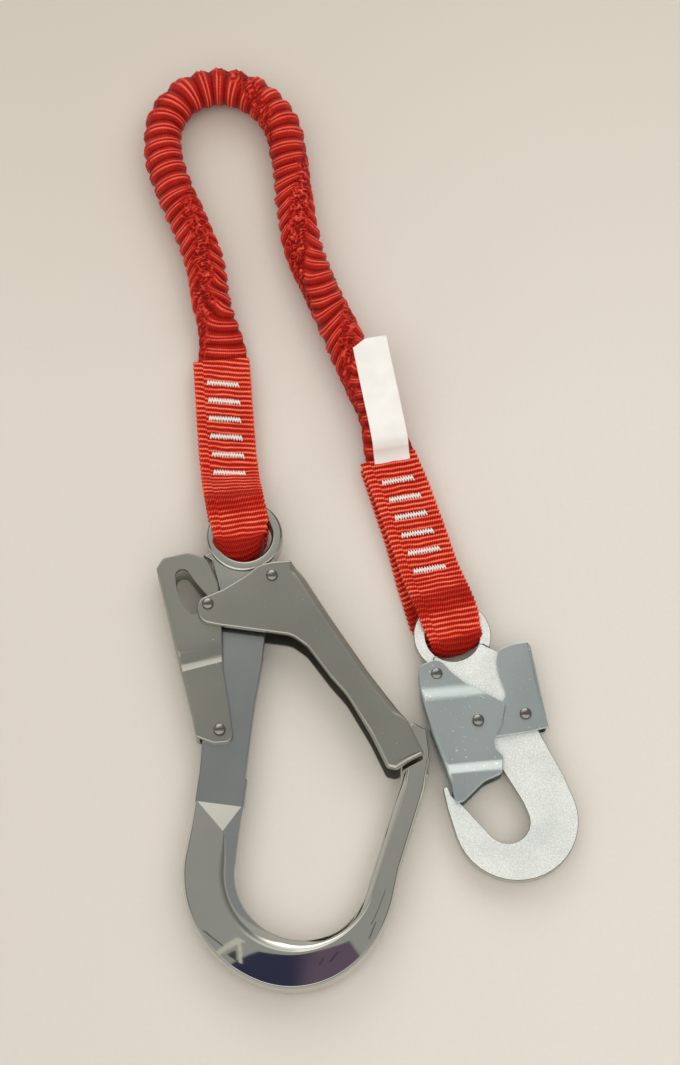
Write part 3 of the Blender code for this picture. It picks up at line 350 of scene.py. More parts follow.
def webbing_material(name, pitch, grain_turn, shade_to_highlight):
    """Woven polyester: colour follows the relief as painted light and shade, grains follow the woven
    coordinates.
    """
    s = Surface(name)
    across, along = s.woven()
    turns = s.plus(s.times(across, TAU / pitch), s.times(along, grain_turn))
    grain = s.math("MULTIPLY_ADD", s.math("SINE", turns), 0.5, 0.5)
    fine, broad = s.noise(1400.0, 3.0, 0.6), s.noise(60.0, 2.0)
    # The relief attribute is painted light and shade, and the ramp runs from painted shade to a painted
    # highlight.
    mixed = s.node("Attribute", {"attribute_name": "relief"}).outputs["Fac"]
    for pattern, share in ((grain, 0.30), (fine, 0.35), (broad, 0.25)):
        mixed = s.plus(mixed, s.times(s.math("SUBTRACT", pattern, 0.5), share))
    s.set(Base_Color=s.ramp(mixed, list(zip((0.0, 0.35, 0.62, 1.0), shade_to_highlight))))
    height = s.plus(s.times(grain, 0.7), s.times(fine, 0.5))
    s.set(Normal=s.bump(height, 0.0002, 0.8), Roughness=0.42)
    s.set(Specular_IOR_Level=0.32, Specular_Tint=(1.0, 0.30, 0.22))
    return s.material


def grained_material(name, scale, detail, low, high, rough, bump=None, metallic=0.0):
    """An even stuff whose one fine grain sets its colour, its roughness and its bumps."""
    s = Surface(name)
    fine = s.noise(scale, detail)
    s.set(Base_Color=s.ramp(fine, [(0.3, low), (0.7, high)]), Metallic=metallic)
    s.set(Roughness=s.range(fine, 0.3, 0.7, *rough))
    if bump:
        s.set(Normal=s.bump(fine, *bump))
    return s.material


def label_material():
    s = Surface("label_cloth")
    thread = 0.42
    across, along = [s.math("SINE", s.times(way, TAU / thread)) for way in s.woven()]
    s.set(Base_Color=s.ramp(s.noise(120.0), [(0.25, (0.90, 0.87, 0.84)), (0.75, (0.97, 0.95, 0.92))]))
    s.set(Normal=s.bump(s.times(across, along), 0.00005, 0.6), Roughness=0.5, Sheen_Weight=0.1)
    return s.material


def hook_run(s, start, end, lean=0.0):
    """0 to 1 along the scaffold hook's y, or a direction that leans from it, between two places in mm."""
    angle = math.radians(SCAFFOLD["turn"] + lean)
    up = (-math.sin(angle), math.cos(angle), 0.0)
    base = SCAFFOLD["eye"][0] * MM * up[0] + SCAFFOLD["eye"][1] * MM * up[1]
    return s.range(s.vector("DOT_PRODUCT", s.place, up), base + start * MM, base + end * MM)


def forged_material():
    """Zinc-coated forging: satin on its plate, polished round the bowl, with a painted dark reflection on the
    bowl's outer rim.
    """
    s = Surface("forged_steel")
    polished = s.math("MAXIMUM", hook_run(s, -133.1, -133.5, -11.3), hook_run(s, 25.0, 26.0, -90.0))
    plain = s.math("SUBTRACT", 1.0, polished)
    flecks, broad = s.noise(700.0, 4.0, 0.7), s.noise(45.0, 2.0)
    satin = s.ramp(broad, [(0.3, (0.37, 0.39, 0.38)), (0.7, (0.42, 0.44, 0.43))])
    satin = s.mix(hook_run(s, -27.0, -20.0), satin, (0.50, 0.505, 0.455))
    bright = s.ramp(broad, [(0.3, (0.62, 0.615, 0.56)), (0.7, (0.66, 0.655, 0.60))])
    base = s.mix(polished, satin, bright)
    # Painted dark reflection: faces of the bowl's outer rim that tilt outwards get a near-black colour.
    normal = s.node("TexCoord").outputs["Normal"]
    height = s.math("ABSOLUTE", s.split(normal)[2])
    from_bowl = s.vector("SUBTRACT", s.place, row_point(SCAFFOLD, *BOWL_CENTRE, 0))
    outside = s.range(s.vector("DOT_PRODUCT", from_bowl, normal), 0.001, 0.003, 0.0, 0.85)
    rim = s.times(s.times(s.range(height, 0.985, 0.93), s.range(height, 0.74, 0.82)), outside)
    base = s.mix(rim, base, (0.07, 0.07, 0.075))
    pits = s.times(s.range(flecks, 0.70, 0.75, 0.0, 0.8), plain)
    s.set(Base_Color=s.mix(pits, base, (0.86, 0.86, 0.84)), Metallic=1.0)
    scratches = s.noise(260.0, 5.0, 0.65, (1.0, 0.12, 1.0))
    s.set(Roughness=s.math("MULTIPLY_ADD", s.range(scratches, 0.3, 0.7, 0.235, 0.26), plain, 0.014))
    soft_waves = s.bump(broad, 0.0003, s.times(plain, 0.15))
    s.set(Normal=s.bump(flecks, 0.00002, s.times(plain, 0.2), soft_waves))
    return s.material


def sheet_material(name, low, high, fleck, rough, fleck_level):
    """Bent and zinc-coated sheet: even satin with fine grain and a few bright flecks."""
    s = Surface(name)
    broad, grit = s.noise(24.0, 2.0), s.noise(1500.0, 2.0, 0.6)
    flecks, patches = s.noise(620.0, 3.0, 0.65), s.noise(55.0, 2.0)
    base = s.ramp(s.plus(s.times(broad, 0.7), s.times(grit, 0.3)), [(0.34, low), (0.66, high)])
    lift = s.math("MULTIPLY_ADD", s.range(patches, 0.5, 0.65), 0.05, flecks)
    spots = s.ramp(lift, [(fleck_level, (0.0, 0.0, 0.0)), (fleck_level + 0.04, (1.0, 1.0, 1.0))])
    s.set(Base_Color=s.mix(spots, base, fleck), Metallic=1.0, Roughness=s.range(broad, 0.3, 0.7, *rough))
    s.set(Normal=s.bump(grit, 0.00001, 0.15, s.bump(broad, 0.0006, 0.08)))
    return s.material


def speckled_material():
    """Grainy pale zinc on the stamped plate of the snap hook, with painted shade on its side walls and rims.
    """
    s = Surface("zinc_plate")
    grain, broad = s.noise(1300.0, 3.0, 0.65), s.noise(60.0)
    base = s.ramp(s.plus(s.times(grain, 0.7), s.times(broad, 0.3)),
                  [(0.36, (0.66, 0.70, 0.69)), (0.5, (0.81, 0.84, 0.82)), (0.64, (0.98, 0.99, 0.96))])
    # Painted shade by facing: side walls a darker yellowish grey, tilted rims near black.
    facing = s.math("ABSOLUTE", s.split(s.node("NewGeometry").outputs["Normal"])[2])
    wall = s.range(facing, 0.2, 0.45, 1.0, 0.0)
    rim = s.math("SUBTRACT", s.range(facing, 0.97, 0.88), wall)
    base = s.mix(wall, base, (0.50, 0.51, 0.43))
    s.set(Base_Color=s.mix(rim, base, (0.10, 0.105, 0.10)), Metallic=0.55)
    s.set(Roughness=s.range(grain, 0.3, 0.7, 0.42, 0.6), Normal=s.bump(grain, 0.00012, 0.6))
    return s.material


# The pleated sleeve and its core. The keys are (share of the length, value) from the scaffold hook's end

SLEEVE_STEP = 0.33
SLEEVE_SIDES = 144
SLEEVE_WIDE, SLEEVE_TALL = 8.5, 8.3
END_WIDE, END_TALL = 11.9, 3.6
END_REACH = 26.0
PITCH_KEYS = [(0.0, 6.6), (0.10, 7.0), (0.20, 7.5), (0.28, 8.2), (0.40, 9.2), (0.50, 8.6), (0.60, 7.6),
              (0.75, 7.1), (1.0, 6.6)]
SEAM_KEYS = [(0.0, 18), (0.02, 32), (0.09, 73), (0.125, 87), (0.155, 92), (0.185, 100), (0.222, 145),
             (0.248, 180), (0.30, 198), (0.36, 210), (0.42, 215), (0.46, 250), (0.48, 276), (0.505, 310),
             (0.56, 360), (0.61, 395), (0.628, 413), (0.67, 450), (0.725, 495), (0.76, 535), (0.79, 540),
             (0.83, 591), (0.85, 630), (0.90, 695), (0.95, 720), (1.0, 730)]
RUFFLE_KEYS = [(0.0, 0.5), (0.05, 0.9), (0.10, 1.0), (0.17, 0.9), (0.20, 0.6), (0.25, 0.4), (0.42, 0.4),
               (0.46, 0.8), (0.52, 0.8), (0.56, 0.6), (0.60, 0.9), (0.75, 1.0), (0.80, 0.8), (0.95, 0.8),
               (1.0, 0.5)]
SWEEP_KEYS = [(0.0, 2.0), (0.05, 5.5), (0.10, 8.0), (0.15, 6.5), (0.20, 3.0), (0.25, 0.6), (0.30, 0.0),
              (0.52, 0.0), (0.58, -2.5), (0.64, -7.0), (0.70, -7.5), (0.80, -6.0), (0.90, -6.0), (1.0, -2.5)]
SLANT_KEYS = [(0.0, 0.0), (0.18, -0.03), (0.24, 0.03), (0.28, 0.14), (0.34, 0.14), (0.42, 0.0), (1.0, 0.0)]


def sleeve_points():
    """The route, led straight into both straps."""
    def beyond(hook, distance):
        return to_row(np.array([hook["strap_x"], STRAP_END + distance, SLEEVE_HEIGHT], float), hook) / MM
    points = [beyond(SCAFFOLD, d) for d in (0.3, 10.5)]
    points += [np.array([x, y, SLEEVE_HEIGHT]) for x, y in ROUTE]
    points += [beyond(SNAP, d) for d in (21.0, 10.5, 0.3)]
    return np.array(points)


def sleeve(webbing):
    """Tubular webbing gathered over the core: pleats with a double rib, swept along at two ruffled edges."""
    line, run = even_line(sleeve_points(), SLEEVE_STEP)
    total = run[-1]
    angle = (TAU * np.arange(SLEEVE_SIDES) / SLEEVE_SIDES)[None, :]
    turn = angle / TAU
    s = run[:, None]
    share = s / total
    tangent = directions(line)
    heading = np.unwrap(np.arctan2(tangent[:, 1], tangent[:, 0]))
    turning = -np.gradient(heading, run)[:, None] * 28.0
    full = smooth(0.0, END_REACH, np.minimum(s, total - s))
    wide = END_WIDE + (SLEEVE_WIDE - END_WIDE) * full
    tall = END_TALL + (SLEEVE_TALL - END_TALL) * full
    centre_z = STRAP_MIDDLE + (SLEEVE_HEIGHT - STRAP_MIDDLE) * full

    seam = np.radians(keyed(share, SEAM_KEYS)) + 0.22 * lattice(s / 9.0, 0 * s, 61)
    away = np.abs((angle - seam + math.pi / 2) % math.pi - math.pi / 2)
    strength = keyed(share, RUFFLE_KEYS)
    ruffle = smooth(0.78, 0.30, away + 0.16 * lattice(s / 3.1, turn * 12, 62, 12)) * strength
    swept = keyed(share, SWEEP_KEYS) * bell(away, 0.80)
    slanted = keyed(share, SLANT_KEYS) * np.cos(angle) * 10.0
    wander = lattice(s / 19.0, 0 * s, 3) * 0.16 + lattice(s / 6.0, turn * 4, 5, 4) * 0.07

    pitch = keyed(run / total, PITCH_KEYS)
    count = np.concatenate([[0.0], np.cumsum(SLEEVE_STEP / pitch)])[:-1]
    phase = np.interp(s - swept + slanted, run, count) + wander
    number = np.floor(phase)
    p = phase - number
    valley = bell(np.minimum(p, 1 - p), 0.075)
    body = wave(p) ** 0.42
    apart = 0.12 + 0.02 * lattice(number * 0.37, turn * 3, 9, 3)
    weak = 0.78 + 0.22 * lattice(number * 0.91, turn * 5, 12, 5)
    ribs = (bell(p - 0.5 + apart, 0.058) + bell(p - 0.5 - apart, 0.058) * weak) * (1 - 0.75 * ruffle)
    cleft = bell(p - 0.5, 0.05) * (1 - ruffle)
    uneven = 1.0 + 0.20 * lattice(number * 0.73, turn * 3, 11, 3)
    outer = np.clip(1.0 + np.clip(turning, -0.4, 1.2) * np.cos(angle), 0.7, 2.0)
    flattened = 1 - 0.55 * ruffle * smooth(0.5, 0.9, strength)
    depth = 1.95 * uneven * outer ** 0.5 * flattened * (0.45 + 0.55 * full)

    warp = 0.8 * lattice(s / 1.9, turn * 26, 71, 26)
    twist = 0.5 * lattice(s / 1.9, turn * 26, 72, 26)
    curls = np.maximum(1 - 3.2 * np.abs(lattice((s + warp) / 1.15, turn * 32 + twist, 73)), -0.6)
    folds = lattice(s / 2.8, turn * 15, 23, 15)
    crumple = 0.75 * curls + 0.35 * lattice(s, turn * 40, 74, 40)
    relief = 0.62 * body + 0.28 * ribs - 0.06 * cleft
    rise = depth * relief + ruffle * (0.50 * crumple + 0.28 * folds) + 0.06 * folds
    x = (wide + rise) * np.cos(angle)
    z = (tall + rise * (0.55 + 0.45 * full)) * np.sin(angle)
    crest = np.clip(10.9 / np.maximum(np.hypot(x, z), 0.1), 0.0, 1.0) * full + (1 - full)
    rings = line[:, None, :] * np.array([1, 1, 0]) + left_of(tangent)[:, None, :] * (x * crest)[..., None]
    height = centre_z + z * crest
    lowest, soft = 0.12, 0.6
    lying = lowest + soft * np.exp((height - lowest - soft) / soft)
    rings[..., 2] = np.where(height < lowest + soft, lying, height)

    # Painted light and shade: lighter on the double ribs and the ruffled curls, darker in the valleys and
    # clefts.
    calm = 0.27 + 0.08 * body + 0.72 * ribs - 0.14 * cleft - 0.30 * valley + 0.06 * folds
    ruffled_shading = 0.30 + 0.70 * np.clip(crumple, -0.42, 1.0) + 0.10 * folds
    across = np.arange(SLEEVE_SIDES + 1) / SLEEVE_SIDES * TAU * 9.5
    piece = sweep("sleeve_webbing", rings * MM, across, run, calm * (1 - ruffle) + ruffled_shading * ruffle, webbing)
    centre = line.copy()
    centre[:, 2] = centre_z[:, 0]
    return piece, centre, total


def core(centre, rubber):
    """Seven rubber strands side by side."""
    apart, radius, skipped = 2.45, 1.0, 14
    places = [(0.0, 0.0)] + disc((0.0, 0.0), apart, 6)
    line = centre[::skipped]
    left = unit(left_of(directions(line)))
    share = np.linspace(0, 1, len(line))
    full = smooth(0.0, 0.06, np.minimum(share, 1 - share))
    strands = []
    for across, up in places:
        strand = line + left * (across * (1.15 - 0.15 * full))[:, None]
        strand[:, 2] += up * (0.42 + 0.58 * full)
        strands.append((strand, radius))
    vertices, faces = tubes(strands, 8)
    return make_mesh("rubber_strands", vertices * MM, faces, rubber)


# Straps

def strap_line(hook):
    """Side view (y, z) of the webbing: down the upper layer, over the rim, through the eye and back below."""
    half = WEB / 2
    top, bottom = STRAP_HIGH - half, STRAP_LOW + half
    over = hook["mid"] + hook["plate"] / 2 + 0.3 + half
    radius = (over - bottom) / 2
    bend_y = hook["bend"] + radius
    shoulder = hook["rim"] + 1.0
    points = [(STRAP_END, top), (70.0, top), (44.0, top), (36.0, top)]
    points += [(shoulder + 1.5, over - 0.4), (shoulder - 5.0, over + 0.1), (bend_y + 4.0, over)]
    points += arc((bend_y, (over + bottom) / 2), radius, 90, 270, 20)
    points += [(bend_y + 6.0, bottom), (30.0, bottom), (60.0, bottom), (STRAP_END - 0.6, bottom)]
    return even_line(np.array([(0.0, y, z) for y, z in points]), 0.3)


def webbing_strap(name, hook, webbing):
    """One length of tubular webbing with its cross ribs, doubled through the eye."""
    line, along = strap_line(hook)
    tangent = directions(line)
    y, z, run = line[:, 1:2], line[:, 2:3], along[:, None]
    turn = np.argmin(y)
    back = smooth(turn - 10.0, turn + 12.0, np.arange(len(y), dtype=float))[:, None]
    x0, side = round_strip(13.75, WEB / 2, 36)
    wobble = 0.35 * lattice(x0 / 7.0, run / 9.0, 31) + 0.12 * lattice(x0 / 2.0, run / 3.0, 32)
    lean = keyed(y, hook["slope"])
    phase = (run + wobble + lean * x0 + 0.8 * smooth(-9.0, -9.9, x0)) / RIB
    calm = smooth(24.5, 20.5, y) * smooth(10.0, 14.0, y) * 0.6
    crest = wave(phase) ** 0.8
    uneven = 1.0 + 0.25 * lattice(np.floor(phase) * 0.61, x0 / 6.0, 33)
    lift = 0.42 * (crest - 0.5) * uneven * (1 - calm)
    edge = smooth(11.4, 13.6, np.abs(x0))
    half = WEB / 2 - 0.25 + lift * np.abs(side) + 0.10 * np.sin(TAU * x0 / 9.0) * (1 - edge)
    middle = hook["strap_x"] + keyed(y, hook["shift"]) * (1 - back) + keyed(y, hook["back_shift"]) * back
    x = x0 * (1 + 0.045 * crest * edge) * (1.0 - hook["narrow"] * smooth(9.0, -1.0, y))
    bowed = np.sqrt(np.clip(1 - (x / hook["bend_radius"]) ** 2, 0.05, 1.0))
    pulled = smooth(6.0, -3.0, y)
    ys = (y + half * side * tangent[:, 2:3]) * (1 - pulled + bowed * pulled)
    zs = z - half * side * tangent[:, 1:2]
    for tack in TACKS:
        press = bell(y - tack - lean * x0, 1.6) * (1 - smooth(7.4, 9.6, np.abs(x0)))
        zs -= press * (0.5 * (1 - back) - 0.25 * back)
    rings = np.stack([middle + x, ys, np.maximum(zs, 0.08)], -1)
    # Painted light and shade: lighter on the rib crests and a little at the rounded sides, darker where the
    # fold turns down under the eye; also darker over the calm band, where the ribs flatten.
    painted_shading = 0.12 + 0.74 * wave(phase) ** 2.1 * uneven * (1 - 0.7 * calm) + 0.12 * edge
    painted_shading = painted_shading * (1 - 0.78 * smooth(0.5, -4.5, y)) * (1 - 0.5 * calm) + 0.04
    return sweep(name, to_row(rings, hook), closed(x0), along, painted_shading, webbing)


def strap_filling(name, hook, webbing):
    """The sleeve's flattened end and the folded webbing between the two layers of a strap."""
    along = np.arange(34.0, STRAP_END - 0.8, 0.6)
    x0, side = round_strip(13.1, 2.1, 12, 7)
    y = along[:, None] + 0 * x0
    seam = 0.35 * bell(side, 0.25)
    half = 2.12 * (0.35 + 0.65 * smooth(33.0, 40.0, y))
    ribs = np.sin(TAU * y / RIB)
    x = x0 + (0.18 * ribs - np.sign(x0) * seam) * (np.abs(x0) > 11.0)
    rings = np.stack([hook["strap_x"] + keyed(y, hook["shift"]) + x, y, STRAP_MIDDLE + side * half], -1)
    # Its shading is painted light and shade: lighter on the ribs, darker at the folded sides.
    return sweep(name, to_row(rings, hook), closed(x0), along, 0.35 + 0.3 * ribs - 0.3 * seam, webbing)


def bartack(name, hook, x, y, slope, seed, thread):
    """A zigzag row of thick thread along a rib, above and below the strap."""
    rng = np.random.default_rng(seed)
    count, width = 25, 15.4
    lowest = 0.33
    above, below = (STRAP_HIGH - 0.22, 0.05, 0.45, 0.40), (STRAP_LOW + 0.12, -0.05, -0.02, 0.27)
    rows = []
    for z, dip, rise, radius in (above, below):
        points = []
        for k in range(count):
            px = width * (k / (count - 1) - 0.5) + rng.uniform(-0.12, 0.12)
            py = (1.45 if k % 2 else -1.35) + rng.uniform(-0.25, 0.25)
            points.append([x + px, y + slope * px + py, z - dip])
            if k < count - 1:
                nx = width * ((k + 0.5) / (count - 1) - 0.5)
                points.append([x + nx, y + slope * nx + rng.uniform(-0.1, 0.1), z + rise])
        line = np.array(points)
        line[:, 2] = np.maximum(line[:, 2], lowest)
        rows.append((line, radius))
    vertices, faces = tubes(rows, 7)
    return make_mesh(name, to_row(vertices, hook), faces, thread)


# Label

def label(hook, cloth):
    """A strip of label cloth sewn in under the end of the strap, lying over the sleeve."""
    width, thick, tilt = 17.5, 0.36, -6.5
    reach = width / 2
    keys = [(90.0, 7.3), (94.5, 8.6), (98.4, 12.0), (101.0, 17.6), (104.5, 20.6), (112.0, 22.1),
            (124.0, 22.3), (140.0, 22.2), (157.6, 22.6)]
    line, run = even_line(np.array([(0.0, y, z) for y, z in keys]), 0.8)
    x0, side = round_strip(reach, thick / 2, 22, 3)
    tangent = directions(line)
    y, z = line[:, 1:2], line[:, 2:3]
    free = smooth(98.0, 110.0, y)
    sag = (0.5 * np.sin(x0 / 5.0 + y / 11.0) - 1.15 * (x0 / reach) ** 2) * free
    curl = 0.9 * smooth(150.0, 158.0, y) * smooth(0.0, 8.0, x0)
    half = side * (thick / 2 + bell(run[:, None] - 14.5, 0.5) * 0.22)
    corner = smooth(148.0, 158.0, y) * smooth(-1.0, -reach, x0) * 3.2
    px, py = turned(x0 + 0 * y, y - tangent[:, 2:3] * half - STRAP_END - corner, tilt)
    rings = np.stack([hook["strap_x"] + px, STRAP_END + py, z + tangent[:, 1:2] * half + sag + curl], -1)
    piece = sweep("label_cloth_tag", to_row(rings, hook), closed(x0), run, 0 * px, cloth)
    return piece, (width * MM, run[-1] * MM)


# Metal, in hook millimetres with heights from the middle of each hook. A third number is a corner's radius

GATE_SPINE = [(21.1, -16.8), (26.9, -24.8, 20), (37.6, -46.5, 60), (53.0, -75.7, 60), (63.7, -93.6, 30),
              (68.2, -101.4)]
GATE_EDGE = [(68.3, -101.6), (70.9, -108.5, 8), (74.2, -117.8, 1.5), (66.7, -120.9, 6), (60.5, -124.2, 2),
             (56.4, -122.8, 2), (50.5, -106.5, 20), (41.5, -86.5, 30), (34.5, -76.5, 20), (25.0, -60.5, 12),
             (18.0, -54.3, 10), (3.0, -50.8, 20), (-14.0, -46.8, 15), (-24.8, -43.6, 7), (-24.9, -32.6, 5),
             (-12.0, -28.3, 12), (-1.5, -22.6, 15), (5.5, -17.6, 6), (13.0, -16.3, 6), (21.0, -16.75)]
GATE_FAR = [(95.0, -140.0), (-45.0, -140.0), (-45.0, -5.0), (10.0, -5.0)]
LATCH_SPINE = [(-30.3, -95.4), (-33.1, -77.3, 60), (-37.0, -54.1, 60), (-43.0, -14.5)]
LATCH_EDGE = [(-42.9, -13.9), (-39.5, -8.9, 3), (-27.6, -7.2, 5), (-18.6, -11.4, 5), (-14.2, -24.2, 8),
              (-14.0, -47.5, 10), (-15.0, -66.0, 15), (-13.6, -84.0, 15), (-12.6, -103.0, 5.5),
              (-22.0, -102.8, 4), (-30.0, -98.8, 1.2), (-30.25, -95.6)]
LATCH_FAR = [(-41.0, -4.0), (5.0, -4.0), (5.0, -112.0), (-28.0, -112.0)]
PLATE_EDGE = [(-20.3, -8.2), (-16.4, -11.2, 1.5), (-14.3, -26.0, 8), (-14.8, -45.0, 15),
              (-20.5, -72.0, 30), (-26.0, -92.0, 20), (-29.4, -114.6, 20), (-34.2, -137.0), (-12.0, -137.0),
              (-5.2, -102.4, 60), (-1.6, -84.9, 60), (3.6, -64.3, 60), (6.6, -48.0, 20), (7.0, -34.0),
              (15.0, -16.0)]
NOSE_EDGE = [(62.0, -129.0), (75.2, -127.0), (77.2, -116.0, 6), (76.9, -104.5)]
GATE_PIVOT, LATCH_PIVOT, LOCK_PIN = (11.5, -23.7), (-18.8, -96.7), (-19.8, -35.3)
BORE, BUSH_BORE = 2.35, 3.75
BOWL_CENTRE, BOWL_RADIUS = (13.5, -166.8), 30.0
BOWL_START, BOWL_END = 168.7, 337.3
BAR_HALF = 6.0
SNAP_SPINE = [(-23.9, -72.8), (-24.4, -58.5, 60), (-25.1, -45.0, 60), (-24.8, -26.0, 20), (-22.4, -18.6)]
SNAP_EDGE = [(-22.2, -18.2), (-20.9, -10.4, 6), (-10.4, -9.4, 5), (-6.6, -17.6, 8), (-2.4, -24.0, 20),
             (5.0, -31.9, 20), (12.9, -40.6, 2), (7.3, -50.5, 4), (1.6, -55.4, 3), (1.2, -59.6, 2),
             (3.6, -64.2, 2), (0.8, -71.6, 3), (-8.4, -72.6, 8), (-20.3, -78.9, 2), (-24.0, -79.0, 1),
             (-23.95, -73.0)]
SNAP_FAR = [(-30.0, -4.0), (40.0, -4.0), (40.0, -90.0), (-36.0, -90.0)]
SNAP_PIVOT, SNAP_LOCK_PIN = (-13.3, -16.6), (-2.2, -44.5)
ROUNDING_STEPS = 6


def turned_about(point, pivot, degrees):
    x, y = turned(point[0] - pivot[0], point[1] - pivot[1], degrees)
    return pivot[0] + x, pivot[1] + y


def rounded(corners):
    """Points of an open outline whose corners (x, y, radius) are replaced by arcs."""
    points = []
    for i, corner in enumerate(corners):
        here = Vector(corner[:2])
        if len(corner) < 3:
            points.append(tuple(here))
            continue
        before, after = Vector(corners[i - 1][:2]) - here, Vector(corners[i + 1][:2]) - here
        half = before.angle(after) / 2
        reach = min(corner[2] / math.tan(half), 0.45 * before.length, 0.45 * after.length)
        radius = reach * math.tan(half)
        turn = math.pi - 2 * half
        centre = here + (before.normalized() + after.normalized()).normalized() * radius / math.sin(half)
        first = here + before.normalized() * reach - centre
        side = 1.0 if before.cross(after) < 0 else -1.0
        steps = max(2, math.ceil(math.degrees(turn) / 8.0))
        for k in range(steps + 1):
            points.append(tuple(centre + Matrix.Rotation(side * turn * k / steps, 2) @ first))
    return points


def offset_line(points, distance):
    """An open line moved to its right by a distance."""
    moved = []
    for i, point in enumerate(points):
        before, after = Vector(points[max(i - 1, 0)]), Vector(points[min(i + 1, len(points) - 1)])
        along = (after - before).normalized()
        moved.append((point[0] + along.y * distance, point[1] - along.x * distance))
    return moved


def stroke(path, half_width):
    """Outline of a slot with round ends that follows a path."""
    def cap(end, heading, first):
        angle = math.degrees(math.atan2(heading.y, heading.x)) + first
        return arc(end, half_width, angle, angle + 180, 15)[1:-1]
    head = cap(path[-1], Vector(path[-1]) - Vector(path[-2]), -90)
    tail = cap(path[0], Vector(path[1]) - Vector(path[0]), 90)
    return offset_line(path, half_width) + head + offset_line(path, -half_width)[::-1] + tail


def tapered(points, rim, fold):
    """Points at even steps, and radii that grow from the rim's at both ends to the fold's."""
    step, first, last = 2.0, 4.0, 9.0
    places, run = stepped(np.array(points, float), step)
    share = smooth(0.0, first, run) * smooth(0.0, last, run[-1] - run)
    return [tuple(p) for p in places], (rim + (fold - rim) * share).tolist()


def loft(rings, endless=False):
    """A body over rings (n, m, 3), as skin closes them."""
    bm = bmesh.new()
    verts = [bm.verts.new(place) for place in rings.reshape(-1, 3)]
    for face in skin(*rings.shape[:2], endless):
        bm.faces.new([verts[i] for i in face])
    return bm


def plate_shell(points, half, radius=0.0, cuts=(), height=None, lean=0.0):
    """A plate with rounded rims. radius is one value or one for each point, cuts are levels of y - lean x,
    and height, where it is given, is half its height at a level."""
    points = np.array(points, float)
    radius = np.broadcast_to(np.asarray(radius, float), (len(points),))
    x, y = points.T
    if np.sum(x * np.roll(y, -1) - y * np.roll(x, -1)) < 0:
        points, radius = points[::-1], radius[::-1]
    keep = np.linalg.norm(points - np.roll(points, 1, 0), axis=1) > 0.05
    points, radius = points[keep], radius[keep]
    after = unit(np.roll(points, -1, 0) - points)
    before = np.roll(after, 1, 0)
    n1, n2 = [np.stack([side[:, 1], -side[:, 0]], 1) for side in (before, after)]
    miter = (n1 + n2) / np.maximum(1 + np.sum(n1 * n2, 1), 0.3)[:, None]
    turns = np.linspace(0, math.pi / 2, ROUNDING_STEPS) if radius.max() > 0 else np.zeros(1)
    rings = []
    for side, order in ((-1, turns[::-1]), (1, turns)):
        for a in order:
            ring = points - miter * (radius * (1 - math.cos(a)))[:, None]
            rings.append(np.column_stack([ring, side * (half - radius * (1 - math.sin(a)))]))
    bm = loft(np.array(rings))
    for level in cuts:
        geometry = bm.verts[:] + bm.edges[:] + bm.faces[:]
        bmesh.ops.bisect_plane(bm, geom=geometry, dist=1e-5, plane_co=(0, level, 0), plane_no=(-lean, 1, 0))
    if height:
        for vert in bm.verts:
            vert.co.z *= height(vert.co.y - lean * vert.co.x) / half
    bmesh.ops.recalc_face_normals(bm, faces=bm.faces)
    return bm


def carve(bm, cutters):
    """The first body less the others, as a mesh."""
    target = new_object("carved", to_mesh(bm, "carved"))
    others = [new_object("cutter", to_mesh(cutter, "cutter")) for cutter in cutters]
    for other in others:
        modifier = target.modifiers.new("cut", "BOOLEAN")
        modifier.operation = "DIFFERENCE"
        modifier.solver = "EXACT"
        modifier.object = other
    graph = bpy.context.evaluated_depsgraph_get()
    mesh = bpy.data.meshes.new_from_object(target.evaluated_get(graph))
    for obj in [target] + others:
        bpy.data.objects.remove(obj)
    return mesh


def metal_piece(name, meshes, hook, surface, body, node, sharp=30.0):
    """One visual piece from closed shells, with smooth curves, crisp creases and even normals."""
    bm = bmesh.new()
    for mesh in meshes:
        bm.from_mesh(mesh)
    for edge in bm.edges:
        if edge.calc_face_angle(0.0) > math.radians(sharp):
            edge.smooth = False
    for face in bm.faces:
        face.smooth = True
        face.material_index = 0
    places = to_row(np.array([v.co for v in bm.verts]) + [0, 0, hook["mid"]], hook)
    for vert, place in zip(bm.verts, places):
        vert.co = place
    obj = new_object(name, to_mesh(bm, name))
    obj.data.materials.clear()
    obj.data.materials.append(surface)
    normals = obj.modifiers.new("normals", "WEIGHTED_NORMAL")
    normals.keep_sharp = True
    normals.weight = 100
    declare(obj, body, surface.name.split(".")[0], node)


def bent_sheet(node, hook, surface, spine, edge, sheet, gap, far, rim, fold, cuts, slots, lean=0.0, tip=None,
               sharp=30.0):
    """A U-shaped sheet: rounded fold along the spine, softly rounded rims, slots cut through both cheeks.
    gap(y) is the room between the cheeks, far(inner) its open side, and tip a level and the rim below it."""
    spine_points, radius = tapered(rounded(spine), rim, fold)
    edge_points = rounded(edge)
    radius += [tip[1] if tip and y < tip[0] else rim for _, y in edge_points]
    half = gap(0.0) / 2 + sheet
    body = plate_shell(spine_points + edge_points, half, radius, cuts, lambda y: gap(y) / 2 + sheet, lean)
    inner = offset_line(spine_points, sheet)
    hollow = plate_shell(inner + far(inner), gap(0.0) / 2, 0.0, cuts, lambda y: gap(y) / 2, lean)
    mesh = carve(body, [hollow] + [plate_shell(s, 30.0) for s in slots])
    metal_piece(node + "_sheet", [mesh], hook, surface, node, node, sharp)


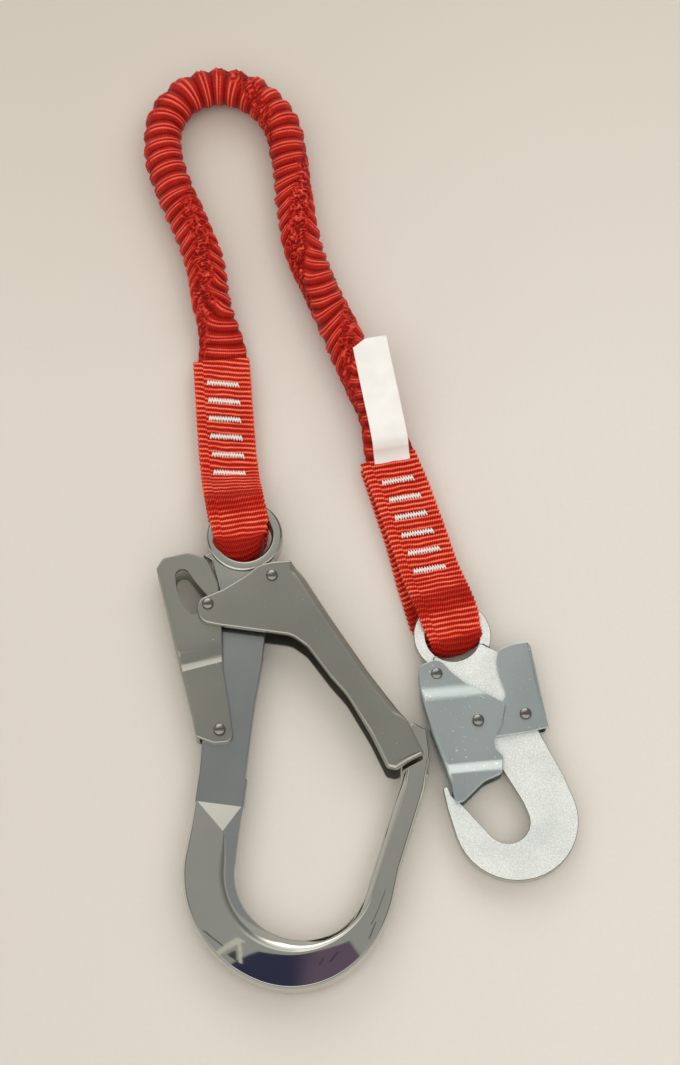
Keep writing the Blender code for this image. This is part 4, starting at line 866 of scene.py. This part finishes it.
def bar_section(width, half, bevel, drop, chamfer, ridge, soft):
    """Rounded octagon (u, z) of the bar: inner wall, wide inner bevel, flat top, thin outer chamfer."""
    edge = half + ridge
    upper = [(0.0, half - drop), (bevel, half), (width - chamfer, edge), (width, edge - chamfer)]
    corners = np.array(upper + [(u, -z) for u, z in upper[::-1]])
    reaches = [min(1.3, 0.5 * bevel), soft, 0.35, 0.35]
    out = []
    for i, reach in enumerate(reaches + reaches[::-1]):
        here, ways = corners[i], []
        for other in (corners[i - 1] - here, corners[(i + 1) % 8] - here):
            length = np.linalg.norm(other)
            ways.append(here + other / length * min(reach, 0.45 * length))
        p, q = ways
        out += [(1 - t) ** 2 * p + 2 * t * (1 - t) * here + t * t * q for t in np.linspace(0, 1, 5)]
    return np.array(out)


def outward(angle):
    return np.array([math.cos(math.radians(angle)), math.sin(math.radians(angle))])


def ease(low, high, share):
    return low + (high - low) * (0.5 - 0.5 * math.cos(math.pi * min(max(share, 0.0), 1.0)))


def bar_stations():
    """Places along the bar as (inner wall, direction outward, section), from the neck to the nose."""
    entry, leave = [np.array(BOWL_CENTRE) + BOWL_RADIUS * outward(a) for a in (BOWL_START, BOWL_END)]
    up = outward(BOWL_START - 90)
    neck, thick = (-120.7 - entry[1]) / up[1], 14.8
    runs = [(neck, 0, 0), (27.75, 0, 0), (27.6, 0, 1.9), (thick, 1, 0)]
    runs += [(thick * (1 - k / 8), 1, 0) for k in range(1, 9)]
    stations = []
    for run, swell, ridge in runs:
        width = 21.2 + 2.8 * (1 - run / neck)
        soft = 0.6 + 2.8 * (1 - run / thick) if swell and run < thick else 0.5
        section = bar_section(width, 3.46 + 2.54 * swell, 0.6 + 6.8 * swell, 0.6 + 3.0 * swell,
                              0.6 + 0.6 * swell, ridge, soft)
        stations.append((entry + up * run, outward(BOWL_START), section))
    for k in range(1, 73):
        angle = BOWL_START + (BOWL_END - BOWL_START) * k / 72
        width, bevel = ease(24.0, 13.0, (angle - 245) / 100), ease(7.4, 3.2, (angle - 200) / 120)
        drop, soft = ease(3.6, 2.8, (angle - 280) / 60), ease(3.4, 1.4, (angle - 220) / 100)
        section = bar_section(width, BAR_HALF, bevel, drop, 1.2, 0.0, soft)
        stations.append((np.array(BOWL_CENTRE) + BOWL_RADIUS * outward(angle), outward(angle), section))
    up = outward(BOWL_END + 90)
    arm = (-124.9 - leave[1]) / up[1]
    runs = [(arm * k / 4, 0, 11.8) for k in (1, 2, 3)] + [(arm - 5, 0, 11.8), (arm, 49, 14.4)]
    for run, slant, width in runs:
        section = bar_section(width, BAR_HALF, 3.2, 2.8, 1.2, 0.0, 1.4)
        stations.append((leave + up * run, outward(BOWL_END + slant), section))
    return stations


def hook_bar():
    """The polished bar as one smooth loft, with the pale facet where the thin neck runs into it."""
    top_corner, bottom_corner, facet_row = 9, 29, 2
    bm = bmesh.new()
    rings = [[bm.verts.new((*(point + direction * u), z)) for u, z in section]
             for point, direction, section in bar_stations()]
    creased = set()
    for row, (low, high) in enumerate(zip(rings, rings[1:])):
        for k in range(len(low)):
            n = (k + 1) % len(low)
            if row == facet_row and k in (top_corner, bottom_corner):
                a, b = (k, n) if k == top_corner else (n, k)
                for corners in ((low[a], low[b], high[a]), (low[b], high[b], high[a])):
                    creased.add(bm.faces.new(corners))
            else:
                bm.faces.new((low[k], low[n], high[n], high[k]))
    bm.faces.new(rings[0])
    bm.faces.new(rings[-1])
    bmesh.ops.recalc_face_normals(bm, faces=bm.faces)
    for face in creased:
        for edge in face.edges:
            edge.smooth = False
    return to_mesh(bm, "bar")


def eye_ring(inner, outer, half, radius):
    """A turned ring with rounded rims."""
    turns = np.linspace(0, math.pi / 2, ROUNDING_STEPS)
    profile = [(outer - radius + radius * math.cos(a), half - radius + radius * math.sin(a)) for a in turns]
    profile += [(inner + radius - radius * math.cos(a), half - radius + radius * math.sin(a))
                for a in turns[::-1]]
    profile += [(r, -z) for r, z in profile[::-1]]
    rings = [[(*place, z) for place in disc((0.0, 0.0), r, 96)] for r, z in profile]
    bm = loft(np.array(rings), endless=True)
    bmesh.ops.recalc_face_normals(bm, faces=bm.faces)
    return to_mesh(bm, "ring")


def scaffold_hook(surface):
    half, through = 3.5, 20.0
    seat = arc((0.0, 0.0), 15.6, -38, -158)
    outline = rounded(PLATE_EDGE)[1:] + seat + [PLATE_EDGE[0]]
    holes = [plate_shell(disc(GATE_PIVOT, BUSH_BORE), through), plate_shell(disc(LATCH_PIVOT, BORE), through)]
    plate = carve(plate_shell(outline, half, 0.7), holes)
    lobe = carve(plate_shell(disc(GATE_PIVOT, 9.2), half - 0.04, 0.4),
                 [plate_shell(disc(GATE_PIVOT, BUSH_BORE), through)])
    reach = math.dist(GATE_SPINE[-1], GATE_PIVOT) + 0.5
    tip = arc(GATE_PIVOT, reach, -56.6, -52.4, 1)
    tongue = carve(plate_shell(rounded(NOSE_EDGE) + tip[::-1] + [(64.2, -110.0)], half, 1.2), [])
    ring = eye_ring(13.0, SCAFFOLD["rim"], SCAFFOLD["plate"] / 2, 1.5)
    metal_piece("scaffold_hook_forging", [plate, lobe, tongue, hook_bar(), ring], SCAFFOLD, surface,
                "scaffold_hook", "scaffold_hook_body")


def scaffold_gate(surface):
    def far(inner):
        low = Vector(GATE_SPINE[-1])
        return [tuple(low + (low - Vector(inner[-1])) * 4 + Vector((0.0, 2.5)))] + GATE_FAR
    levels = (-112.0, -98.0, -85.0, -70.0, -55.0, -42.0, -30.0, -20.0)
    bent_sheet("scaffold_gate", SCAFFOLD, surface, GATE_SPINE, GATE_EDGE, sheet=2.0, gap=lambda y: 14.2,
               far=far, rim=1.0, fold=4.4, cuts=levels,
               slots=[disc(GATE_PIVOT, BORE), disc(LOCK_PIN, BORE)], tip=(-104.0, 1.9))


def scaffold_latch(surface):
    """Its slot lets the lock pin go both ways: latch squeezed first, or latch and gate turned together."""
    def pin(gate_share, latch_share):
        opened = turned_about(LOCK_PIN, GATE_PIVOT, -30.0 * gate_share)
        return turned_about(opened, LATCH_PIVOT, 7.0 * latch_share)
    squeezed = [pin(0, 0), pin(0, 0.94)] + [pin(k / 4, 1) for k in range(1, 5)]
    together = [pin(k / 4, k / 4) for k in range(5)]
    slots = [stroke(squeezed, 3.4), stroke(together, 3.4), disc(LATCH_PIVOT, BORE)]
    gaps = [(-60.7, 7.25), (-59.2, 8.2), (-57.6, 8.85), (-56.1, 9.05), (-53.4, 9.1), (-50.4, 9.95)]
    bent_sheet("scaffold_latch", SCAFFOLD, surface, LATCH_SPINE, LATCH_EDGE, sheet=1.8,
               gap=lambda y: float(keyed(y, gaps)), far=lambda inner: LATCH_FAR, rim=0.8, fold=2.2,
               cuts=[level for level, _ in gaps], slots=slots, lean=0.177, sharp=10.0)


def snap_gate(surface):
    def far(inner):
        low, top = Vector(SNAP_SPINE[0]), Vector(SNAP_SPINE[-1])
        low_end = low + (low - Vector(inner[0])) * 6
        return [tuple(top + (top - Vector(inner[-1])) * 6)] + SNAP_FAR + [tuple(low_end)]
    levels = (-70.0, -68.9, -67.8, -66.6, -65.5, -64.4, -33.4, -31.7, -30.0, -28.3, -26.6, -24.9)
    gaps = [(y, 9.3 - 2.7 * smooth(-64.4, -70.0, y) - 2.3 * smooth(-33.4, -24.9, y)) for y in levels]
    bent_sheet("snap_gate", SNAP, surface, SNAP_SPINE, SNAP_EDGE, sheet=1.5,
               gap=lambda y: float(keyed(y, gaps)), far=far, rim=0.6, fold=2.9, cuts=levels,
               slots=[disc(SNAP_PIVOT, BORE), disc(SNAP_LOCK_PIN, BORE)], lean=-0.2, sharp=12.0)


# Build

def dress(names, surface, rounding=0.35):
    """Give carried-over solids their material, softly rounded edges and smooth curves."""
    for name in names:
        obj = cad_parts[name]
        obj.data.materials.clear()
        obj.data.materials.append(surface)
        obj.data.shade_smooth()
        obj.modifiers.new("weld", "WELD").merge_threshold = 0.00002
        flat = obj.modifiers.new("flat", "DECIMATE")
        flat.decimate_type = "DISSOLVE"
        flat.angle_limit = math.radians(0.5)
        edges = obj.modifiers.new("edges", "BEVEL")
        edges.width = rounding * MM
        edges.segments = 3
        edges.limit_method = "ANGLE"
        edges.angle_limit = math.radians(35)
        edges.use_clamp_overlap = False
        edges.miter_outer = "MITER_ARC"
        obj.modifiers.new("normals", "WEIGHTED_NORMAL")


# Each red ramp runs from painted shade to a painted highlight.
sleeve_red = webbing_material("red_sleeve", pitch=0.75, grain_turn=0.0, shade_to_highlight=[
    (0.13, 0.002, 0.001), (0.41, 0.008, 0.005), (0.63, 0.036, 0.021), (0.94, 0.17, 0.115)])
strap_red = webbing_material("red_strap", pitch=1.15, grain_turn=2.4, shade_to_highlight=[
    (0.16, 0.002, 0.001), (0.50, 0.013, 0.006), (0.80, 0.072, 0.034), (1.0, 0.24, 0.145)])
thread = grained_material("white_thread", 2200.0, 2.0, (0.74, 0.71, 0.67), (0.95, 0.94, 0.92),
                          rough=(0.6, 0.6), bump=(0.0002, 0.6))
rubber = grained_material("rubber_core", 900.0, 3.0, (0.52, 0.46, 0.36), (0.72, 0.66, 0.53),
                          rough=(0.7, 0.7), bump=(0.0001, 0.5))
cloth = label_material()
forged = forged_material()
zinc = sheet_material("zinc_sheet", (0.36, 0.355, 0.315), (0.41, 0.405, 0.36), fleck=(0.80, 0.80, 0.75),
                      rough=(0.27, 0.29), fleck_level=0.72)
plate = speckled_material()
grey = sheet_material("grey_sheet", (0.46, 0.52, 0.525), (0.54, 0.60, 0.605), fleck=(0.98, 1.0, 1.0),
                      rough=(0.30, 0.34), fleck_level=0.67)
rivets = grained_material("rivet_steel", 1200.0, 3.0, (0.19, 0.18, 0.17), (0.27, 0.255, 0.245),
                          rough=(0.14, 0.22), bump=(0.00001, 0.3), metallic=1.0)
springs = grained_material("spring_steel", 800.0, 3.0, (0.22, 0.22, 0.22), (0.40, 0.40, 0.40),
                           rough=(0.2, 0.4), metallic=1.0)

dress(["scaffold_gate_bush"], forged)
dress(["snap_hook_body"], plate, 0.42)
dress(["snap_lever"], grey)
scaffold_hook(forged)
scaffold_gate(zinc)
scaffold_latch(zinc)
snap_gate(grey)
dress(["scaffold_gate_pivot", "scaffold_latch_pivot", "scaffold_lock_pin", "snap_gate_pivot",
       "snap_lever_pivot", "snap_lock_pin"], rivets)
dress(["scaffold_gate_spring", "scaffold_latch_spring", "snap_gate_spring", "snap_lever_spring"], springs)

sleeve_piece, centre, sleeve_length = sleeve(sleeve_red)
declare(sleeve_piece, "lanyard", "webbing", "elastic_sleeve")
core_piece = core(centre, rubber)
declare(core_piece, "lanyard", "rubber", "elastic_core")

for side, hook in (("scaffold", SCAFFOLD), ("snap", SNAP)):
    strap = webbing_strap(side + "_webbing", hook, strap_red)
    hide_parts(side + "_strap", side + "_loop")
    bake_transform(strap)
    filling = strap_filling(side + "_strap_filling", hook, strap_red)
    declare(filling, "lanyard", "webbing")
    for k, y in enumerate(TACKS):
        x = hook["strap_x"] + float(keyed(y, hook["shift"])) + 0.15 * math.sin(k * 2.1)
        slope, seed = float(keyed(y, hook["slope"])), 100 + k + len(side)
        tack = bartack(f"{side}_tack_{k + 1}", hook, x, y, slope, seed, thread)
        declare(tack, "lanyard", "thread", f"{side}_bartack_{k + 1}")

label_piece, label_flat = label(SNAP, cloth)
declare(label_piece, "lanyard", "label", "label_tag")


# Table, room, light and camera

TABLE_REACH = 9.0
# The polished bowl mirrors the room above it. Places in it are across = x / z and deep = y / z of a
# direction. A panel is (left, right, soft) across, (near, far, soft) deep and its light
PANELS = [((0.98, 2.4, 0.06), (-3.0, 3.0, 0.3), (0.27, 0.285, 0.30)),
          ((-0.9, 0.24, 0.12), (0.56, 3.0, 0.07), (0.80, 0.79, 0.74)),
          ((-0.9, -0.03, 0.04), (0.56, 3.0, 0.07), (1.25, 1.22, 1.13)),
          ((-0.85, 0.42, 0.15), (1.05, 3.0, 0.2), (2.3, 2.25, 2.1)),
          ((-1.4, 0.9, 0.3), (-1.8, -0.03, 0.09), (1.35, 1.31, 1.23))]
# A thin stroke is its slant, a place on it across and deep, half its width, its ends deep and its light
FINE = 0.0003
STROKES = [(-2.43, -0.0512, 0.2162, 0.0014, 0.2157, 0.2215, (0.05, 0.05, 0.055)),
           (1.10, -0.0379, 0.2277, 0.0018, 0.2091, 0.2277, (0.58, 0.57, 0.50)),
           (0.286, -0.0399, 0.2264, 0.0009, 0.2079, 0.2264, (0.58, 0.57, 0.50)),
           (0.15, -0.0100, 0.2135, 0.0004, 0.2100, 0.2165, (0.05, 0.045, 0.06)),
           (0.35, -0.0050, 0.2135, 0.0006, 0.2110, 0.2175, (0.06, 0.045, 0.06)),
           (0.276, 0.0165, 0.2435, 0.0005, 0.2272, 0.2435, (0.08, 0.085, 0.09)),
           (0.15, 0.0158, 0.2265, 0.0006, 0.2179, 0.2272, (0.08, 0.085, 0.09))]


def table():
    mesh = bpy.data.meshes.new("table")
    corners = [(-1, -1), (1, -1), (1, 1), (-1, 1)]
    mesh.from_pydata([(TABLE_REACH * x, TABLE_REACH * y, 0) for x, y in corners], [], [(0, 1, 2, 3)])
    s = Surface("table_top")
    fine, broad = s.noise(500.0), s.noise(2.2, 2.0)
    x, y, _ = s.split(s.place)
    # Painted shade: the table is darker towards the far side and to the left, as the lamps' light falls off.
    painted_falloff = s.plus(s.times(s.range(y, 0.12, 0.42), 0.85), s.times(s.range(x, 0.10, -0.16), 0.30))
    even = s.ramp(s.plus(s.times(fine, 0.4), s.times(broad, 0.6)),
                  [(0.3, (0.722, 0.675, 0.622)), (0.7, (0.762, 0.715, 0.662))])
    s.set(Base_Color=s.mix(painted_falloff, even, (0.605, 0.55, 0.487)), Roughness=0.6, Normal=s.bump(fine, 0.0001, 0.3))
    mesh.materials.append(s.material)
    new_object("table", mesh)


def key_light():
    """A square panel, up and to the right beyond the table, which mirrors don't show."""
    data = bpy.data.lights.new("key", "AREA")
    data.size = 2.2
    data.energy = 22.5
    data.color = (1.0, 0.97, 0.93)
    obj = new_object("key", data)
    obj.location = (1.9, 1.3, 2.4)
    obj.rotation_euler = (Vector((0.0, 0.05, 0.0)) - obj.location).to_track_quat("-Z", "Y").to_euler()
    obj.visible_glossy = False


def room():
    """A plain room: grey overhead, brighter low down and beyond the table, and a dark shape over the bowl."""
    made = bpy.data.worlds.new("studio")
    made.use_nodes = True
    w = Nodes(made.node_tree)

    def band(value, low, high, soft):
        rise = w.range(value, low - soft, low + soft, 0.0, 1.0, "SMOOTHSTEP")
        fall = w.range(value, high - soft, high + soft, 1.0, 0.0, "SMOOTHSTEP")
        return w.times(rise, fall)

    def patch(depth, ends, sides):
        """Where a depth is between its ends (low, high, soft), and within slanted sides."""
        share = band(depth, *ends)
        for slant, left, right, soft in sides:
            share = w.times(share, band(w.math("MULTIPLY_ADD", depth, -slant, across), left, right, soft))
        return share

    x, y, z = w.split(w.node("TexCoord").outputs["Generated"])
    low_z = w.math("MAXIMUM", z, 0.05)
    across, deep = w.math("DIVIDE", x, low_z), w.math("DIVIDE", y, low_z)
    sky = w.ramp(z, [(0.0, (0.54, 0.52, 0.485)), (0.35, (0.46, 0.45, 0.42)), (0.75, (0.36, 0.36, 0.345)),
                     (1.0, (0.335, 0.34, 0.33))])
    for across_ends, deep_ends, light in PANELS:
        sky = w.mix(w.times(band(across, *across_ends), band(deep, *deep_ends)), sky, light)
    shape = patch(w.math("SUBTRACT", deep, 0.0090), (0.10, 0.2178, 0.0006),
                  [(0.99, -0.2487, 0.5, 0.0006), (-0.75, -0.5, 0.1635, 0.0012)])
    sky = w.mix(shape, sky, (0.036, 0.038, 0.078))
    sky = w.mix(w.times(shape, band(across, -0.017, 0.02, 0.007)), sky, (0.135, 0.095, 0.145))
    depth = w.math("SUBTRACT", deep, 0.0040)
    corner = patch(depth, (0.20, 0.2185, 0.0004),
                   [(-1.7, 0.3074, 0.6, FINE), (1.1, -0.2839, 0.0, FINE), (0.286, -0.5, -0.1068, FINE)])
    sky = w.mix(corner, sky, (0.06, 0.06, 0.075))
    for slant, place, place_depth, half, low, high, light in STROKES:
        start = place - slant * place_depth
        line = patch(depth, (low, high, FINE), [(slant, start - half, start + half, FINE)])
        sky = w.mix(line, sky, light)
    background = w.tree.nodes["Background"]
    w.put(background.inputs["Color"], sky)
    w.put(background.inputs["Strength"], 1.1)
    bpy.context.scene.world = made


def camera():
    """The camera that was fitted to the photo: its focal length and height are in the photo's pixels."""
    focal_px, height_px, sensor = 2200, 1065, 36
    data = bpy.data.cameras.new("camera")
    data.lens = focal_px * sensor / height_px
    data.sensor_width = sensor
    obj = new_object("camera", data)
    obj.location = (-0.0109, -0.3550, 0.988)
    obj.rotation_euler = (math.radians(23), 0.0, 0.0)
    bpy.context.scene.camera = obj


table()
room()
key_light()
camera()
bpy.context.scene.view_settings.view_transform = "Standard"
